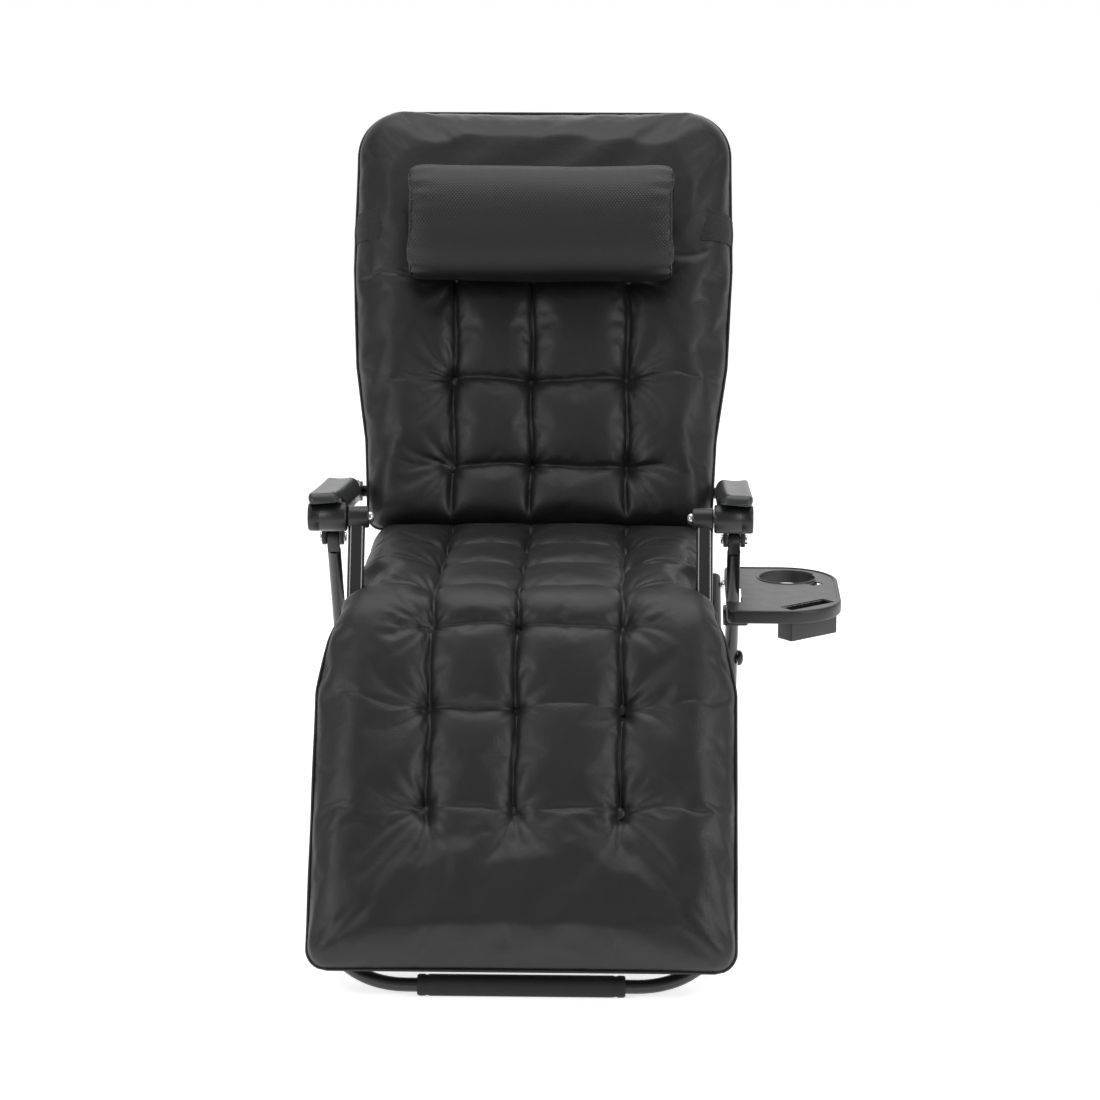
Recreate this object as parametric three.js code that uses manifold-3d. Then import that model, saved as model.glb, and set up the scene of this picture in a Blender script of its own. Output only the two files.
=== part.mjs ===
// Zero gravity recliner: crossed leg frames, a bent seat and leg frame, a reclining back frame,
// two armrests on swinging struts, elastic-laced slings, tufted cushions, a head pillow and a tray.
// Millimetres, +Z up, +Y to the rear, X = 0 on the plane of symmetry, Z = 0 on the floor.
// "left" is the sitter's left, which is +X.
import * as THREE from 'three';
import * as BufferGeometryUtils from 'three/addons/utils/BufferGeometryUtils.js';
import Module from 'manifold-3d';

const wasm = await Module();
wasm.setup();

// ---------------------------------------------------------------- driving dimensions
const GAP = 0.3; // clearance kept between touching pieces
const TUBE_SIDES = 10;
const LEG_TUBE_R = 10;
const RAIL_R = 11;

// distances from the plane of symmetry
const RAIL_X = 228;
const STRUT_X = 254;
const FRONT_LEG_X = 276;
const REAR_LEG_X = 300;

// pivots in the side view
const ARM_JOINT = { y: 0, z: 597 };
const ARM_REAR = { y: 480, z: 534 };
const HIP = { y: 417, z: 400 };
const STRUT_FOOT = { y: HIP.y + ARM_JOINT.y - ARM_REAR.y, z: HIP.z + ARM_JOINT.z - ARM_REAR.z };
const LEG_TOP = { y: 120, z: 540 };
const FRONT_BAR = { y: -385, z: 14 };
const REAR_BAR = { y: 451, z: 14 };
const LEG_BEND_R = 115;

// back frame and back cushion, measured along and across the leaning back
const BACK_LEAN = THREE.MathUtils.degToRad(25);
const BACK_RAIL_LENGTH = 705;
const BACK_CUSHION_FROM = 62;
const BACK_CUSHION_TO = 764;
const BACK_CUSHION_FRONT = 98;
const CUSHION_HALF_WIDTH = 300;
const BACK_NARROW_HALF = 268;
const BACK_NARROW_TO = 245;
const BACK_WIDE_FROM = 330;

// seat frame: the rails run 28 mm under the line through the hip and strut foot pivots
const RAIL_DROP = 28;
const LEG_SLOPE = THREE.MathUtils.degToRad(57);
const FOOT_TIP = { y: -434, z: 64 };
const LEG_CUSHION_THICK = 58;
const SEAT_TOP = 514;
const SEAT_NARROW_HALF = 237;
const SEAT_NARROW = { from: STRUT_FOOT.y - 30, to: 95 };
const SEAT_REAR_HALF = 266;

// armrests
const PAD_HALF_WIDTH = 26;
const PAD_X = 298;
const PAD_LENGTH = 330;
const HOUSING_R = 21;
const LEVER_AT = { y: 230, z: 2 };
const LEVER_PIN_R = 3.5;

// side tray, in plan
const TRAY = { inner: 290, outer: 463, front: 70, rear: 364, top: 442, depth: 20, wall: 3, corner: 86 };
const TUBE_NOTCH = { front: 132, rear: 226 };
const CUP = { x: 386, y: 296, r: 43 };

const SIDES = [['left', 1], ['right', -1]];

// ---------------------------------------------------------------- derived places
const armSlope = Math.atan2(ARM_JOINT.z - ARM_REAR.z, ARM_REAR.y - ARM_JOINT.y);
const armLength = Math.hypot(ARM_REAR.y - ARM_JOINT.y, ARM_JOINT.z - ARM_REAR.z);
const CROSS = lineCrossing(FRONT_BAR, HIP, LEG_TOP, REAR_BAR);

function lineCrossing(a, b, c, d) {
  const slopeOne = (b.z - a.z) / (b.y - a.y);
  const slopeTwo = (d.z - c.z) / (d.y - c.y);
  const y = (c.z - a.z + slopeOne * a.y - slopeTwo * c.y) / (slopeOne - slopeTwo);
  return { y, z: a.z + slopeOne * (y - a.y) };
}

function beyond(from, to, extra) {
  const length = Math.hypot(to.y - from.y, to.z - from.z);
  const k = (length + extra) / length;
  return { y: from.y + (to.y - from.y) * k, z: from.z + (to.z - from.z) * k };
}

// ---------------------------------------------------------------- materials
function finish(color, roughness, metalness) {
  return new THREE.MeshStandardMaterial({ color, roughness, metalness });
}
const paintedSteel = finish(0x17181a, 0.38, 0.3);
const mouldedPlastic = finish(0x1d1e20, 0.42, 0);
const trayPlastic = finish(0x3a3b3d, 0.5, 0);
const softRubber = finish(0x141414, 0.8, 0);
const polishedSteel = finish(0xd5d7da, 0.15, 1);
const slingFabric = finish(0x1c1d1f, 0.8, 0);
const lacingCord = finish(0x0f0f10, 0.7, 0);
const cushionLeather = finish(0x1a1b1c, 0.45, 0);
const pillowFabric = finish(0x2a2b2d, 0.45, 0);

// ---------------------------------------------------------------- geometry helpers
const POLYGON_PHASE = Math.PI / TUBE_SIDES; // puts a flat of the tube's section at its bottom

function circleShape(radius, sides = TUBE_SIDES) {
  const points = [];
  for (let i = 0; i < sides; i += 1) {
    const angle = POLYGON_PHASE + (i / sides) * 2 * Math.PI;
    points.push(new THREE.Vector2(radius * Math.cos(angle), radius * Math.sin(angle)));
  }
  return new THREE.Shape(points);
}

// a polyline whose inner corners are rounded to a bend radius
function bentPath(points, bendRadius) {
  const path = new THREE.CurvePath();
  let start = points[0];
  for (let i = 1; i < points.length - 1; i += 1) {
    const corner = points[i];
    const inward = corner.clone().sub(points[i - 1]).normalize();
    const outward = points[i + 1].clone().sub(corner).normalize();
    const reach = bendRadius * Math.tan(inward.angleTo(outward) / 2);
    const enter = corner.clone().addScaledVector(inward, -reach);
    const leave = corner.clone().addScaledVector(outward, reach);
    path.add(new THREE.LineCurve3(start, enter));
    path.add(bendBetween(enter, corner, leave));
    start = leave;
  }
  path.add(new THREE.LineCurve3(start, points[points.length - 1]));
  return path;
}

// a cubic curve that follows the circular arc touching both legs of a corner
function bendBetween(enter, corner, leave) {
  const turn = Math.PI - enter.clone().sub(corner).angleTo(leave.clone().sub(corner));
  const pull = (4 / 3) * Math.tan(turn / 4) / Math.tan(turn / 2);
  const first = enter.clone().lerp(corner, pull);
  const second = leave.clone().lerp(corner, pull);
  return new THREE.CubicBezierCurve3(enter, first, second, leave);
}

function sweep(shape, path, steps) {
  return new THREE.ExtrudeGeometry(shape, { steps, bevelEnabled: false, extrudePath: path });
}

// extrudes an outline of [y, z] points from xLow to xHigh
function plateAcross(outline, xLow, xHigh) {
  const shape = new THREE.Shape(outline.map(([y, z]) => new THREE.Vector2(y, z)));
  const geometry = new THREE.ExtrudeGeometry(shape, { depth: xHigh - xLow, bevelEnabled: false });
  const toYz = new THREE.Matrix4().makeBasis(
    new THREE.Vector3(0, 1, 0), new THREE.Vector3(0, 0, 1), new THREE.Vector3(1, 0, 0));
  geometry.applyMatrix4(toYz);
  return geometry.translate(xLow, 0, 0);
}

// extrudes an outline of [x, y] points from zLow to zHigh
function slab(outline, zLow, zHigh) {
  const shape = new THREE.Shape(outline.map(([x, y]) => new THREE.Vector2(x, y)));
  const geometry = new THREE.ExtrudeGeometry(shape, { depth: zHigh - zLow, bevelEnabled: false });
  return geometry.translate(0, 0, zLow);
}

// turned piece along X; profile is [x, radius] pairs that start and end on the axis
function turned(profile, segments = 12) {
  const points = profile.map(([x, r]) => new THREE.Vector2(r, x));
  const geometry = new THREE.LatheGeometry(points, segments);
  geometry.applyMatrix4(new THREE.Matrix4().makeRotationZ(-Math.PI / 2));
  return signedVolume(geometry) < 0 ? flipped(geometry) : geometry;
}

function pin(xLow, xHigh, radius, segments = 12) {
  return turned([[xLow, 0], [xLow, radius], [xHigh, radius], [xHigh, 0]], segments);
}

function solidOf(geometry) {
  const bare = geometry.clone();
  bare.deleteAttribute('normal');
  bare.deleteAttribute('uv');
  const merged = BufferGeometryUtils.mergeVertices(bare, 1e-3);
  return new wasm.Manifold(new wasm.Mesh({
    numProp: 3,
    vertProperties: Float32Array.from(merged.attributes.position.array),
    triVerts: Uint32Array.from(merged.index.array),
  }));
}

function geometryOf(solid) {
  const mesh = solid.getMesh();
  const geometry = new THREE.BufferGeometry();
  geometry.setAttribute('position', new THREE.BufferAttribute(Float32Array.from(mesh.vertProperties), 3));
  geometry.setIndex(new THREE.BufferAttribute(Uint32Array.from(mesh.triVerts), 1));
  geometry.computeVertexNormals();
  return geometry;
}

function cut(geometry, ...cutters) {
  return geometryOf(cutters.reduce((solid, cutter) => solid.subtract(solidOf(cutter)), solidOf(geometry)));
}

function join(geometry, ...others) {
  return geometryOf(others.reduce((solid, other) => solid.add(solidOf(other)), solidOf(geometry)));
}

// a lathe profile drawn the wrong way round faces inwards and has a negative volume
function signedVolume(geometry) {
  const flat = geometry.index ? geometry.toNonIndexed() : geometry;
  const p = flat.attributes.position;
  const [a, b, c] = [new THREE.Vector3(), new THREE.Vector3(), new THREE.Vector3()];
  let sum = 0;
  for (let i = 0; i < p.count; i += 3) {
    a.fromBufferAttribute(p, i);
    b.fromBufferAttribute(p, i + 1);
    c.fromBufferAttribute(p, i + 2);
    sum += a.dot(b.cross(c));
  }
  return sum;
}

function flipped(geometry) {
  const index = geometry.index.array;
  for (let i = 0; i < index.length; i += 3) {
    [index[i], index[i + 1]] = [index[i + 1], index[i]];
  }
  geometry.computeVertexNormals();
  return geometry;
}

// a bore along X through a piece, a running clearance larger than its pin
function boreAt(place, radius, xLow, xHigh) {
  return pin(xLow, xHigh, radius + GAP).translate(0, place.y, place.z);
}

function mirroredRange(side, xLow, xHigh) {
  return side > 0 ? [xLow, xHigh] : [-xHigh, -xLow];
}

function add(group, name, geometry, material, place = {}) {
  const mesh = new THREE.Mesh(geometry, material);
  mesh.name = name;
  mesh.position.set(place.x ?? 0, place.y ?? 0, place.z ?? 0);
  group.add(mesh);
  return mesh;
}

const vec = (x, place) => new THREE.Vector3(x, place.y, place.z);

// ---------------------------------------------------------------- crossed leg frames
function legFrame(halfWidth, top, bar, extra, holes) {
  const end = beyond(bar, top, extra);
  const corners = [vec(-halfWidth, end), vec(-halfWidth, bar), vec(halfWidth, bar), vec(halfWidth, end)];
  const tube = sweep(circleShape(LEG_TUBE_R), bentPath(corners, LEG_BEND_R), 66);
  const margin = LEG_TUBE_R + 5;
  const cutters = holes.flatMap(([place, radius]) => SIDES.map(([, side]) => boreAt(
    place, radius, ...mirroredRange(side, halfWidth - margin, halfWidth + margin))));
  return cut(tube, ...cutters);
}

// rubber sleeve round a floor bar, with a flat sole to stand on
const SLEEVE_R = 15.4;

function footSleeve(length) {
  const points = [];
  const soleAngle = Math.acos(FRONT_BAR.z / SLEEVE_R);
  const segments = 22;
  for (let i = 0; i <= segments; i += 1) {
    const angle = -Math.PI / 2 + soleAngle + (i / segments) * 2 * (Math.PI - soleAngle);
    points.push([SLEEVE_R * Math.cos(angle), SLEEVE_R * Math.sin(angle)]);
  }
  const body = plateAcross(points, -length / 2, length / 2);
  return cut(body, pin(-length, length, LEG_TUBE_R + GAP, 24));
}

const PIN_R = 5;
const SMALL_PIN_R = 4;
const CROSS_CAP_R = 12;

function buildBase() {
  const group = new THREE.Group();
  add(group, 'front_leg_frame', legFrame(FRONT_LEG_X, HIP, FRONT_BAR, 16,
    [[CROSS, PIN_R], [HIP, PIN_R]]), paintedSteel);
  add(group, 'rear_leg_frame', legFrame(REAR_LEG_X, LEG_TOP, REAR_BAR, -26,
    [[CROSS, PIN_R]]), paintedSteel);
  add(group, 'front_foot_sleeve', footSleeve(290), softRubber, FRONT_BAR);
  add(group, 'rear_foot_sleeve', footSleeve(240), softRubber, REAR_BAR);
  for (const [name, side] of SIDES) {
    const inner = FRONT_LEG_X - LEG_TUBE_R;
    const outer = REAR_LEG_X + LEG_TUBE_R;
    // domed cap outside, stud through both tubes, nut inside
    const bolt = turned([
      [side * (inner - 8), 0], [side * (inner - 8), 8], [side * (inner - GAP), 8],
      [side * (inner - GAP), PIN_R], [side * (outer + GAP), PIN_R], [side * (outer + GAP), CROSS_CAP_R],
      [side * (outer + 4), CROSS_CAP_R], [side * (outer + 8), 7], [side * (outer + 9), 0]], 16);
    add(group, `cross_bolt_${name}`, bolt, mouldedPlastic, CROSS);
    const [from, to] = mirroredRange(side, FRONT_LEG_X + LEG_TUBE_R + GAP, REAR_LEG_X - LEG_TUBE_R - GAP);
    add(group, `cross_spacer_${name}`, cut(pin(from, to, 13), pin(from - 5, to + 5, PIN_R + GAP)),
      mouldedPlastic, CROSS);
    buildLegTop(group, name, side);
  }
  return group;
}

// moulded plug in the end of each rear leg tube, with an eye for the slide bolt
const PLUG_HALF = 9;
const PLUG_DEPTH = 24;

function buildLegTop(group, name, side) {
  const h = PLUG_HALF;
  const slant = h * Math.SQRT1_2;
  const plug = cut(
    plateAcross([[-h, 0], [-slant, slant], [0, h], [slant, slant], [h, 0], [h, -PLUG_DEPTH], [-h, -PLUG_DEPTH]],
      REAR_LEG_X - h, REAR_LEG_X + h),
    pin(REAR_LEG_X - 2 * h, REAR_LEG_X + 2 * h, SMALL_PIN_R + GAP));
  if (side < 0) {
    plug.translate(-2 * REAR_LEG_X, 0, 0);
  }
  const mesh = add(group, `leg_top_plug_${name}`, plug, mouldedPlastic, LEG_TOP);
  mesh.rotation.x = rearLegLean;
}

// ---------------------------------------------------------------- seat and leg frame
const railSlope = armSlope;
const alongSeat = { y: -Math.cos(railSlope), z: Math.sin(railSlope) };
const alongLeg = { y: -Math.cos(LEG_SLOPE), z: -Math.sin(LEG_SLOPE) };
const RAIL_BEHIND_CUSHION = RAIL_R + 4;

function shifted(place, along, distance, across = 0) {
  // across is towards the sitter: the direction along, turned a quarter
  return {
    y: place.y + along.y * distance + along.z * across,
    z: place.z + along.z * distance - along.y * across,
  };
}

const seatRailRear = shifted(HIP, alongSeat, -12, -RAIL_DROP);
const footRail = shifted(FOOT_TIP, alongLeg, -78, -(LEG_CUSHION_THICK + RAIL_BEHIND_CUSHION));
const kneeRail = lineMeet(seatRailRear, alongSeat, footRail, alongLeg);
const KNEE_BEND_R = 90;

function lineMeet(p, u, q, v) {
  const cross = u.y * v.z - u.z * v.y;
  const t = ((q.y - p.y) * v.z - (q.z - p.z) * v.y) / cross;
  return { y: p.y + u.y * t, z: p.z + u.z * t };
}

// seat line and leg line offset across, joined by an arc at the knee
function seatLine(startAlong, endAlong, across, arcSteps = 6) {
  const a = shifted(kneeRail, alongSeat, startAlong, across);
  const b = shifted(kneeRail, alongLeg, endAlong, across);
  const corner = lineMeet(a, alongSeat, b, alongLeg);
  const radius = KNEE_BEND_R + across;
  const turn = railSlope + LEG_SLOPE;
  const reach = radius * Math.tan(turn / 2);
  const centre = shifted(shifted(corner, alongSeat, -reach), alongSeat, 0, -radius);
  const points = [a];
  for (let i = 0; i <= arcSteps; i += 1) {
    const angle = Math.PI / 2 - railSlope + (i / arcSteps) * turn;
    points.push({ y: centre.y + radius * Math.cos(angle), z: centre.z + radius * Math.sin(angle) });
  }
  points.push(b);
  return points;
}

function band(startAlong, endAlong, low, high) {
  const under = seatLine(startAlong, endAlong, low);
  const over = seatLine(startAlong, endAlong, high).reverse();
  return [...under, ...over].map((p) => [p.y, p.z]).reverse();
}

function buildSeat() {
  const group = new THREE.Group();
  const corners = [
    vec(-RAIL_X, seatRailRear), vec(-RAIL_X, kneeRail), vec(-RAIL_X, footRail),
    vec(RAIL_X, footRail), vec(RAIL_X, kneeRail), vec(RAIL_X, seatRailRear)];
  add(group, 'seat_frame', sweep(circleShape(RAIL_R), bentPath(corners, 70), 66), paintedSteel);

  const seatLength = Math.hypot(seatRailRear.y - kneeRail.y, seatRailRear.z - kneeRail.z);
  const legLength = Math.hypot(footRail.y - kneeRail.y, footRail.z - kneeRail.z);
  add(group, 'seat_sling', plateAcross(band(-seatLength + 50, legLength - 55, 1, 4), -204, 204),
    slingFabric);

  const seatRun = { from: shifted(kneeRail, alongSeat, -seatLength + 55), turn: Math.PI - railSlope, length: 300 };
  const legRun = { from: shifted(kneeRail, alongLeg, 95), turn: Math.PI + LEG_SLOPE, length: legLength - 155 };
  for (const [name, side] of SIDES) {
    addLacing(group, `seat_lacing_${name}`, side, seatRun);
    addLacing(group, `leg_lacing_${name}`, side, legRun);

    const [from, to] = mirroredRange(side, RAIL_X + RAIL_R + GAP, RAIL_X + RAIL_R + 2.3);
    add(group, `hip_plate_${name}`, cut(lug(from, to, 34), pin(from - 5, to + 5, PIN_R + GAP)),
      paintedSteel, HIP);
    add(group, `strut_lug_${name}`, cut(lug(from, to, 26), pin(from - 5, to + 5, SMALL_PIN_R + GAP)),
      paintedSteel, STRUT_FOOT);
  }

  add(group, 'seat_cushion', seatCushion(), cushionLeather);
  return group;
}

// steel lug welded to the outside of a rail, with its eye at the origin
function lug(from, to, reach) {
  const outline = [
    [-11, 0], [-8, 8], [0, 11], [8, 8], [11, 0], [reach * 0.6, -RAIL_DROP - 5], [-reach * 0.6, -RAIL_DROP - 5]];
  return plateAcross([...outline].reverse(), from, to);
}

// flat zigzag of elastic cord between a sling's hem and its rail, behind both
const LACING = { hemX: 198, railX: 230, pitch: 22, width: 7 };

function zigzag(length) {
  const count = Math.round(length / LACING.pitch);
  const inner = [];
  const outer = [];
  for (let i = 0; i <= count; i += 1) {
    const x = i % 2 === 0 ? LACING.hemX : LACING.railX;
    inner.push([x - LACING.width / 2, (i / count) * length]);
    outer.push([x + LACING.width / 2, (i / count) * length]);
  }
  return [...outer, ...inner.reverse()];
}

function addLacing(group, name, side, run) {
  const outline = zigzag(run.length).map(([x, s]) => [x * side, s]);
  const lift = RAIL_R + 1;
  const mesh = add(group, name, slab(outline, lift, lift + 3.5), lacingCord, run.from);
  mesh.rotation.x = run.turn;
  return mesh;
}

// tufted seat and leg cushion as one plain closed form: narrow between the struts, wider behind them
// and widest at the legs
function seatCushion() {
  const lower = seatLine(-490, 0, RAIL_BEHIND_CUSHION).slice(0, -1);
  const footRear = shifted(FOOT_TIP, alongLeg, -14, -LEG_CUSHION_THICK + 1);
  const kneeFront = lineMeet({ y: 0, z: SEAT_TOP }, { y: -1, z: 0 }, FOOT_TIP, alongLeg);
  const outline = [
    [HIP.y + 6, HIP.z + 62],
    [HIP.y - 18, HIP.z + 92],
    [HIP.y - 45, SEAT_TOP - 6],
    [100, SEAT_TOP],
    [kneeFront.y + 50, SEAT_TOP],
    [kneeFront.y + 8, SEAT_TOP - 11],
    [kneeFront.y - 22, SEAT_TOP - 46],
    [FOOT_TIP.y, FOOT_TIP.z],
    [FOOT_TIP.y + 4, FOOT_TIP.z - 10],
    [FOOT_TIP.y + 24, FOOT_TIP.z - 14],
    [footRear.y, footRear.z],
    ...lower.reverse().map((p) => [p.y, p.z]),
  ].reverse();
  const wide = plateAcross(outline, -CUSHION_HALF_WIDTH, CUSHION_HALF_WIDTH);
  const rearEnd = HIP.y + 60;
  const sideCuts = SIDES.flatMap(([, side]) => [
    sideCut(side, SEAT_NARROW_HALF, SEAT_NARROW.from, SEAT_NARROW.to),
    sideCut(side, SEAT_REAR_HALF, SEAT_NARROW.to - GAP, rearEnd)]);
  return cut(wide, ...sideCuts);
}

function sideCut(side, halfWidth, yFrom, yTo) {
  const [from, to] = mirroredRange(side, halfWidth, CUSHION_HALF_WIDTH + 20);
  const box = new THREE.BoxGeometry(to - from, yTo - yFrom, 400);
  return box.translate((from + to) / 2, (yFrom + yTo) / 2, SEAT_TOP);
}

// ---------------------------------------------------------------- back frame
// built upright at the hip: local z runs up the back, local y to its rear
function buildBack() {
  const group = new THREE.Group();
  group.position.set(0, HIP.y, HIP.z);
  group.rotation.x = -BACK_LEAN;

  const top = { y: 0, z: BACK_RAIL_LENGTH };
  const low = { y: 0, z: -9 };
  const corners = [vec(-RAIL_X, low), vec(-RAIL_X, top), vec(RAIL_X, top), vec(RAIL_X, low)];
  const tube = sweep(circleShape(RAIL_R), bentPath(corners, 80), 50);
  const rearPivot = backLocal(ARM_REAR);
  const bores = SIDES.flatMap(([, side]) => {
    const [from, to] = mirroredRange(side, RAIL_X - 20, RAIL_X + 20);
    return [boreAt({ y: 0, z: 0 }, PIN_R, from, to), boreAt(rearPivot, 4.5, from, to)];
  });
  add(group, 'back_frame', cut(tube, ...bores), paintedSteel);

  add(group, 'back_sling', plateAcross([[-4, 60], [-4, 640], [-1, 640], [-1, 60]].reverse(), -204, 204),
    slingFabric);
  for (const [name, side] of SIDES) {
    const run = { from: { y: 0, z: 610 }, turn: -Math.PI / 2, length: 520 };
    addLacing(group, `back_lacing_${name}`, side, run);
    const studEnd = side * (RAIL_X - RAIL_R - 4);
    const shoulder = side * (RAIL_X + RAIL_R + GAP);
    const outer = side * (REAR_LEG_X - 16 - GAP);
    const armPin = turned([
      [studEnd, 0], [studEnd, 4.5], [shoulder, 4.5], [shoulder, 9], [outer, 9], [outer, 0]]);
    add(group, `arm_rear_pin_${name}`, armPin, mouldedPlastic, rearPivot);
  }
  add(group, 'back_cushion', backCushion(), cushionLeather);
  return group;
}

function backLocal(place) {
  const dy = place.y - HIP.y;
  const dz = place.z - HIP.z;
  return {
    y: dy * Math.cos(BACK_LEAN) - dz * Math.sin(BACK_LEAN),
    z: dy * Math.sin(BACK_LEAN) + dz * Math.cos(BACK_LEAN),
  };
}

// plain closed form of the back cushion, narrowed beside the armrests
function backCushion() {
  const rear = -(RAIL_R + 3);
  const front = -BACK_CUSHION_FRONT;
  const outline = [
    [rear, BACK_CUSHION_FROM + 22], [rear, BACK_CUSHION_TO - 26], [rear - 14, BACK_CUSHION_TO - 5],
    [rear - 34, BACK_CUSHION_TO], [front + 26, BACK_CUSHION_TO - 4], [front + 6, BACK_CUSHION_TO - 22],
    [front, BACK_CUSHION_TO - 50], [front, BACK_CUSHION_FROM + 62], [front + 20, BACK_CUSHION_FROM + 36]];
  const wide = plateAcross(outline.reverse(), -CUSHION_HALF_WIDTH, CUSHION_HALF_WIDTH);
  const sideCuts = SIDES.map(([, side]) => {
    const far = CUSHION_HALF_WIDTH + 30;
    const corners = [
      [BACK_NARROW_HALF, 0], [far, 0], [far, BACK_WIDE_FROM + 30],
      [CUSHION_HALF_WIDTH, BACK_WIDE_FROM], [BACK_NARROW_HALF, BACK_NARROW_TO]];
    return uprightPrism(corners, side);
  });
  const cornerCuts = SIDES.map(([, side]) => {
    const r = 64;
    const x = CUSHION_HALF_WIDTH;
    const z = BACK_CUSHION_TO;
    const corners = [[x - r, z], [x - r, z + 20], [x + 20, z + 20], [x + 20, z - r], [x, z - r],
      [x - 0.13 * r, z - 0.5 * r], [x - 0.5 * r, z - 0.13 * r]];
    return uprightPrism(corners, side);
  });
  return cut(wide, ...sideCuts, ...cornerCuts);
}

// prism of [x, z] corners that passes right through the cushion from front to rear
function uprightPrism(corners, side) {
  const shape = new THREE.Shape(corners.map(([x, z]) => new THREE.Vector2(x * side, z)));
  const geometry = new THREE.ExtrudeGeometry(shape, { depth: 300, bevelEnabled: false });
  geometry.applyMatrix4(new THREE.Matrix4().makeRotationX(Math.PI / 2));
  return geometry.translate(0, 150, 0);
}

// ---------------------------------------------------------------- head pillow on its elastic strap
const PILLOW = { z: 546, halfLength: 204, halfHeight: 92, depth: 108 };
const STRAP = { z: 561, halfHeight: 30, thick: 2.5 };

function buildPillow() {
  const group = new THREE.Group();
  group.position.set(0, HIP.y, HIP.z);
  group.rotation.x = -BACK_LEAN;

  const outline = [];
  const strapFront = -(BACK_CUSHION_FRONT + 1 + STRAP.thick);
  const rearFace = strapFront - GAP;
  const centreY = rearFace - PILLOW.depth / 2;
  const segments = 16;
  for (let i = 0; i < segments; i += 1) {
    const angle = (i / segments) * 2 * Math.PI;
    const y = centreY + (PILLOW.depth / 2) * Math.cos(angle) * (1.12 - 0.12 * Math.abs(Math.cos(angle)));
    outline.push([Math.min(y, rearFace), PILLOW.z + PILLOW.halfHeight * Math.sin(angle)]);
  }
  add(group, 'head_pillow', plateAcross(outline, -PILLOW.halfLength, PILLOW.halfLength), pillowFabric);

  const loop = new THREE.Shape(rectangle(CUSHION_HALF_WIDTH + 1 + STRAP.thick, strapFront, 18.5, 4));
  const inside = rectangle(CUSHION_HALF_WIDTH + 1, -(BACK_CUSHION_FRONT + 1), 16, 1);
  loop.holes.push(new THREE.Path(inside.reverse()));
  const strap = new THREE.ExtrudeGeometry(loop, { depth: 2 * STRAP.halfHeight, bevelEnabled: false });
  add(group, 'pillow_strap', strap, lacingCord, { z: STRAP.z - STRAP.halfHeight });
  return group;
}

function rectangle(halfWidth, yLow, yHigh, r) {
  return [
    [-halfWidth + r, yLow], [halfWidth - r, yLow], [halfWidth, yLow + r], [halfWidth, yHigh - r],
    [halfWidth - r, yHigh], [-halfWidth + r, yHigh], [-halfWidth, yHigh - r], [-halfWidth, yLow + r],
  ].map(([x, y]) => new THREE.Vector2(x, y));
}

// ---------------------------------------------------------------- armrests
// local frame of an armrest: origin at its front joint, +y back along it, sloping down
function armGroup() {
  const group = new THREE.Group();
  group.position.set(0, ARM_JOINT.y, ARM_JOINT.z);
  group.rotation.x = -armSlope;
  return group;
}

function buildArm(name, side) {
  const group = armGroup();
  const [low, high] = mirroredRange(side, REAR_LEG_X - 14, REAR_LEG_X + 14);
  const from = HOUSING_R - 3;
  const to = armLength - 4;
  const troughFrom = HOUSING_R + 4;

  // inverted U channel with a boss for the rear pin
  const channel = join(
    cut(
      plateAcross([[from, -14], [to, -14], [to, 10], [to - 30, 20.7], [from, 20.7]].reverse(), low, high),
      plateAcross([[troughFrom, -20], [armLength - 40, -20], [armLength - 40, 14],
        [troughFrom, 14]].reverse(), low + 5, high - 5)),
    pin(low - 2, high, 16, 20).translate(0, armLength, 0),
    pin(low, side > 0 ? 325 : -REAR_LEG_X + 14, HOUSING_R, 24),
    pin(...mirroredRange(side, FRONT_LEG_X - 8, 325), HOUSING_R, 24));
  const leverBore = pin(...mirroredRange(side, 280, 320), LEVER_PIN_R + GAP);
  const ready = cut(channel, pin(...mirroredRange(side, 250, 290), 6 + GAP),
    leverBore.translate(0, LEVER_AT.y, LEVER_AT.z));
  add(group, `armrest_body_${name}`, ready, mouldedPlastic);
  add(group, `armrest_pad_${name}`, armPad(side), mouldedPlastic);

  // squeeze lever inside the channel, on a pin through both walls
  const [wallLow, wallHigh] = mirroredRange(side, REAR_LEG_X - 15, REAR_LEG_X + 15);
  const [leverLow, leverHigh] = mirroredRange(side, REAR_LEG_X - 4, REAR_LEG_X + 4);
  const plate = plateAcross([[-9, 0], [-5, 8], [0, 9], [5, 8], [9, 0], [4, -14], [-24, -38], [-58, -46],
    [-64, -41], [-58, -34], [-30, -24]].reverse(), leverLow, leverHigh);
  const lever = join(plate, pin(wallLow, wallHigh, LEVER_PIN_R)).translate(0, LEVER_AT.y, LEVER_AT.z);
  return { group, lever };
}

// rounded plan outline, slightly crowned, with softened edges
function armPad(side) {
  const r = 14;
  const x = PAD_HALF_WIDTH - r;
  const front = r - HOUSING_R - 5;
  const rear = front + PAD_LENGTH - 2 * r;
  const outline = [];
  for (const [cx, cy, start] of [[x, rear, 0], [-x, rear, 90], [-x, front, 180], [x, front, 270]]) {
    for (let i = 0; i <= 3; i += 1) {
      const angle = THREE.MathUtils.degToRad(start + i * 30);
      outline.push(new THREE.Vector2(cx + r * Math.cos(angle), cy + r * Math.sin(angle)));
    }
  }
  const geometry = new THREE.ExtrudeGeometry(new THREE.Shape(outline), {
    depth: 9, bevelEnabled: true, bevelThickness: 3, bevelSize: 3, bevelSegments: 2, bevelOffset: -3,
  });
  return geometry.translate(side * PAD_X, 0, HOUSING_R + GAP + 3);
}

// half of the strut section's flat, and the radius of its round ends
const STRUT_FLAT = 5.5;
const STRUT_ROUND = 7;

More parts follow.
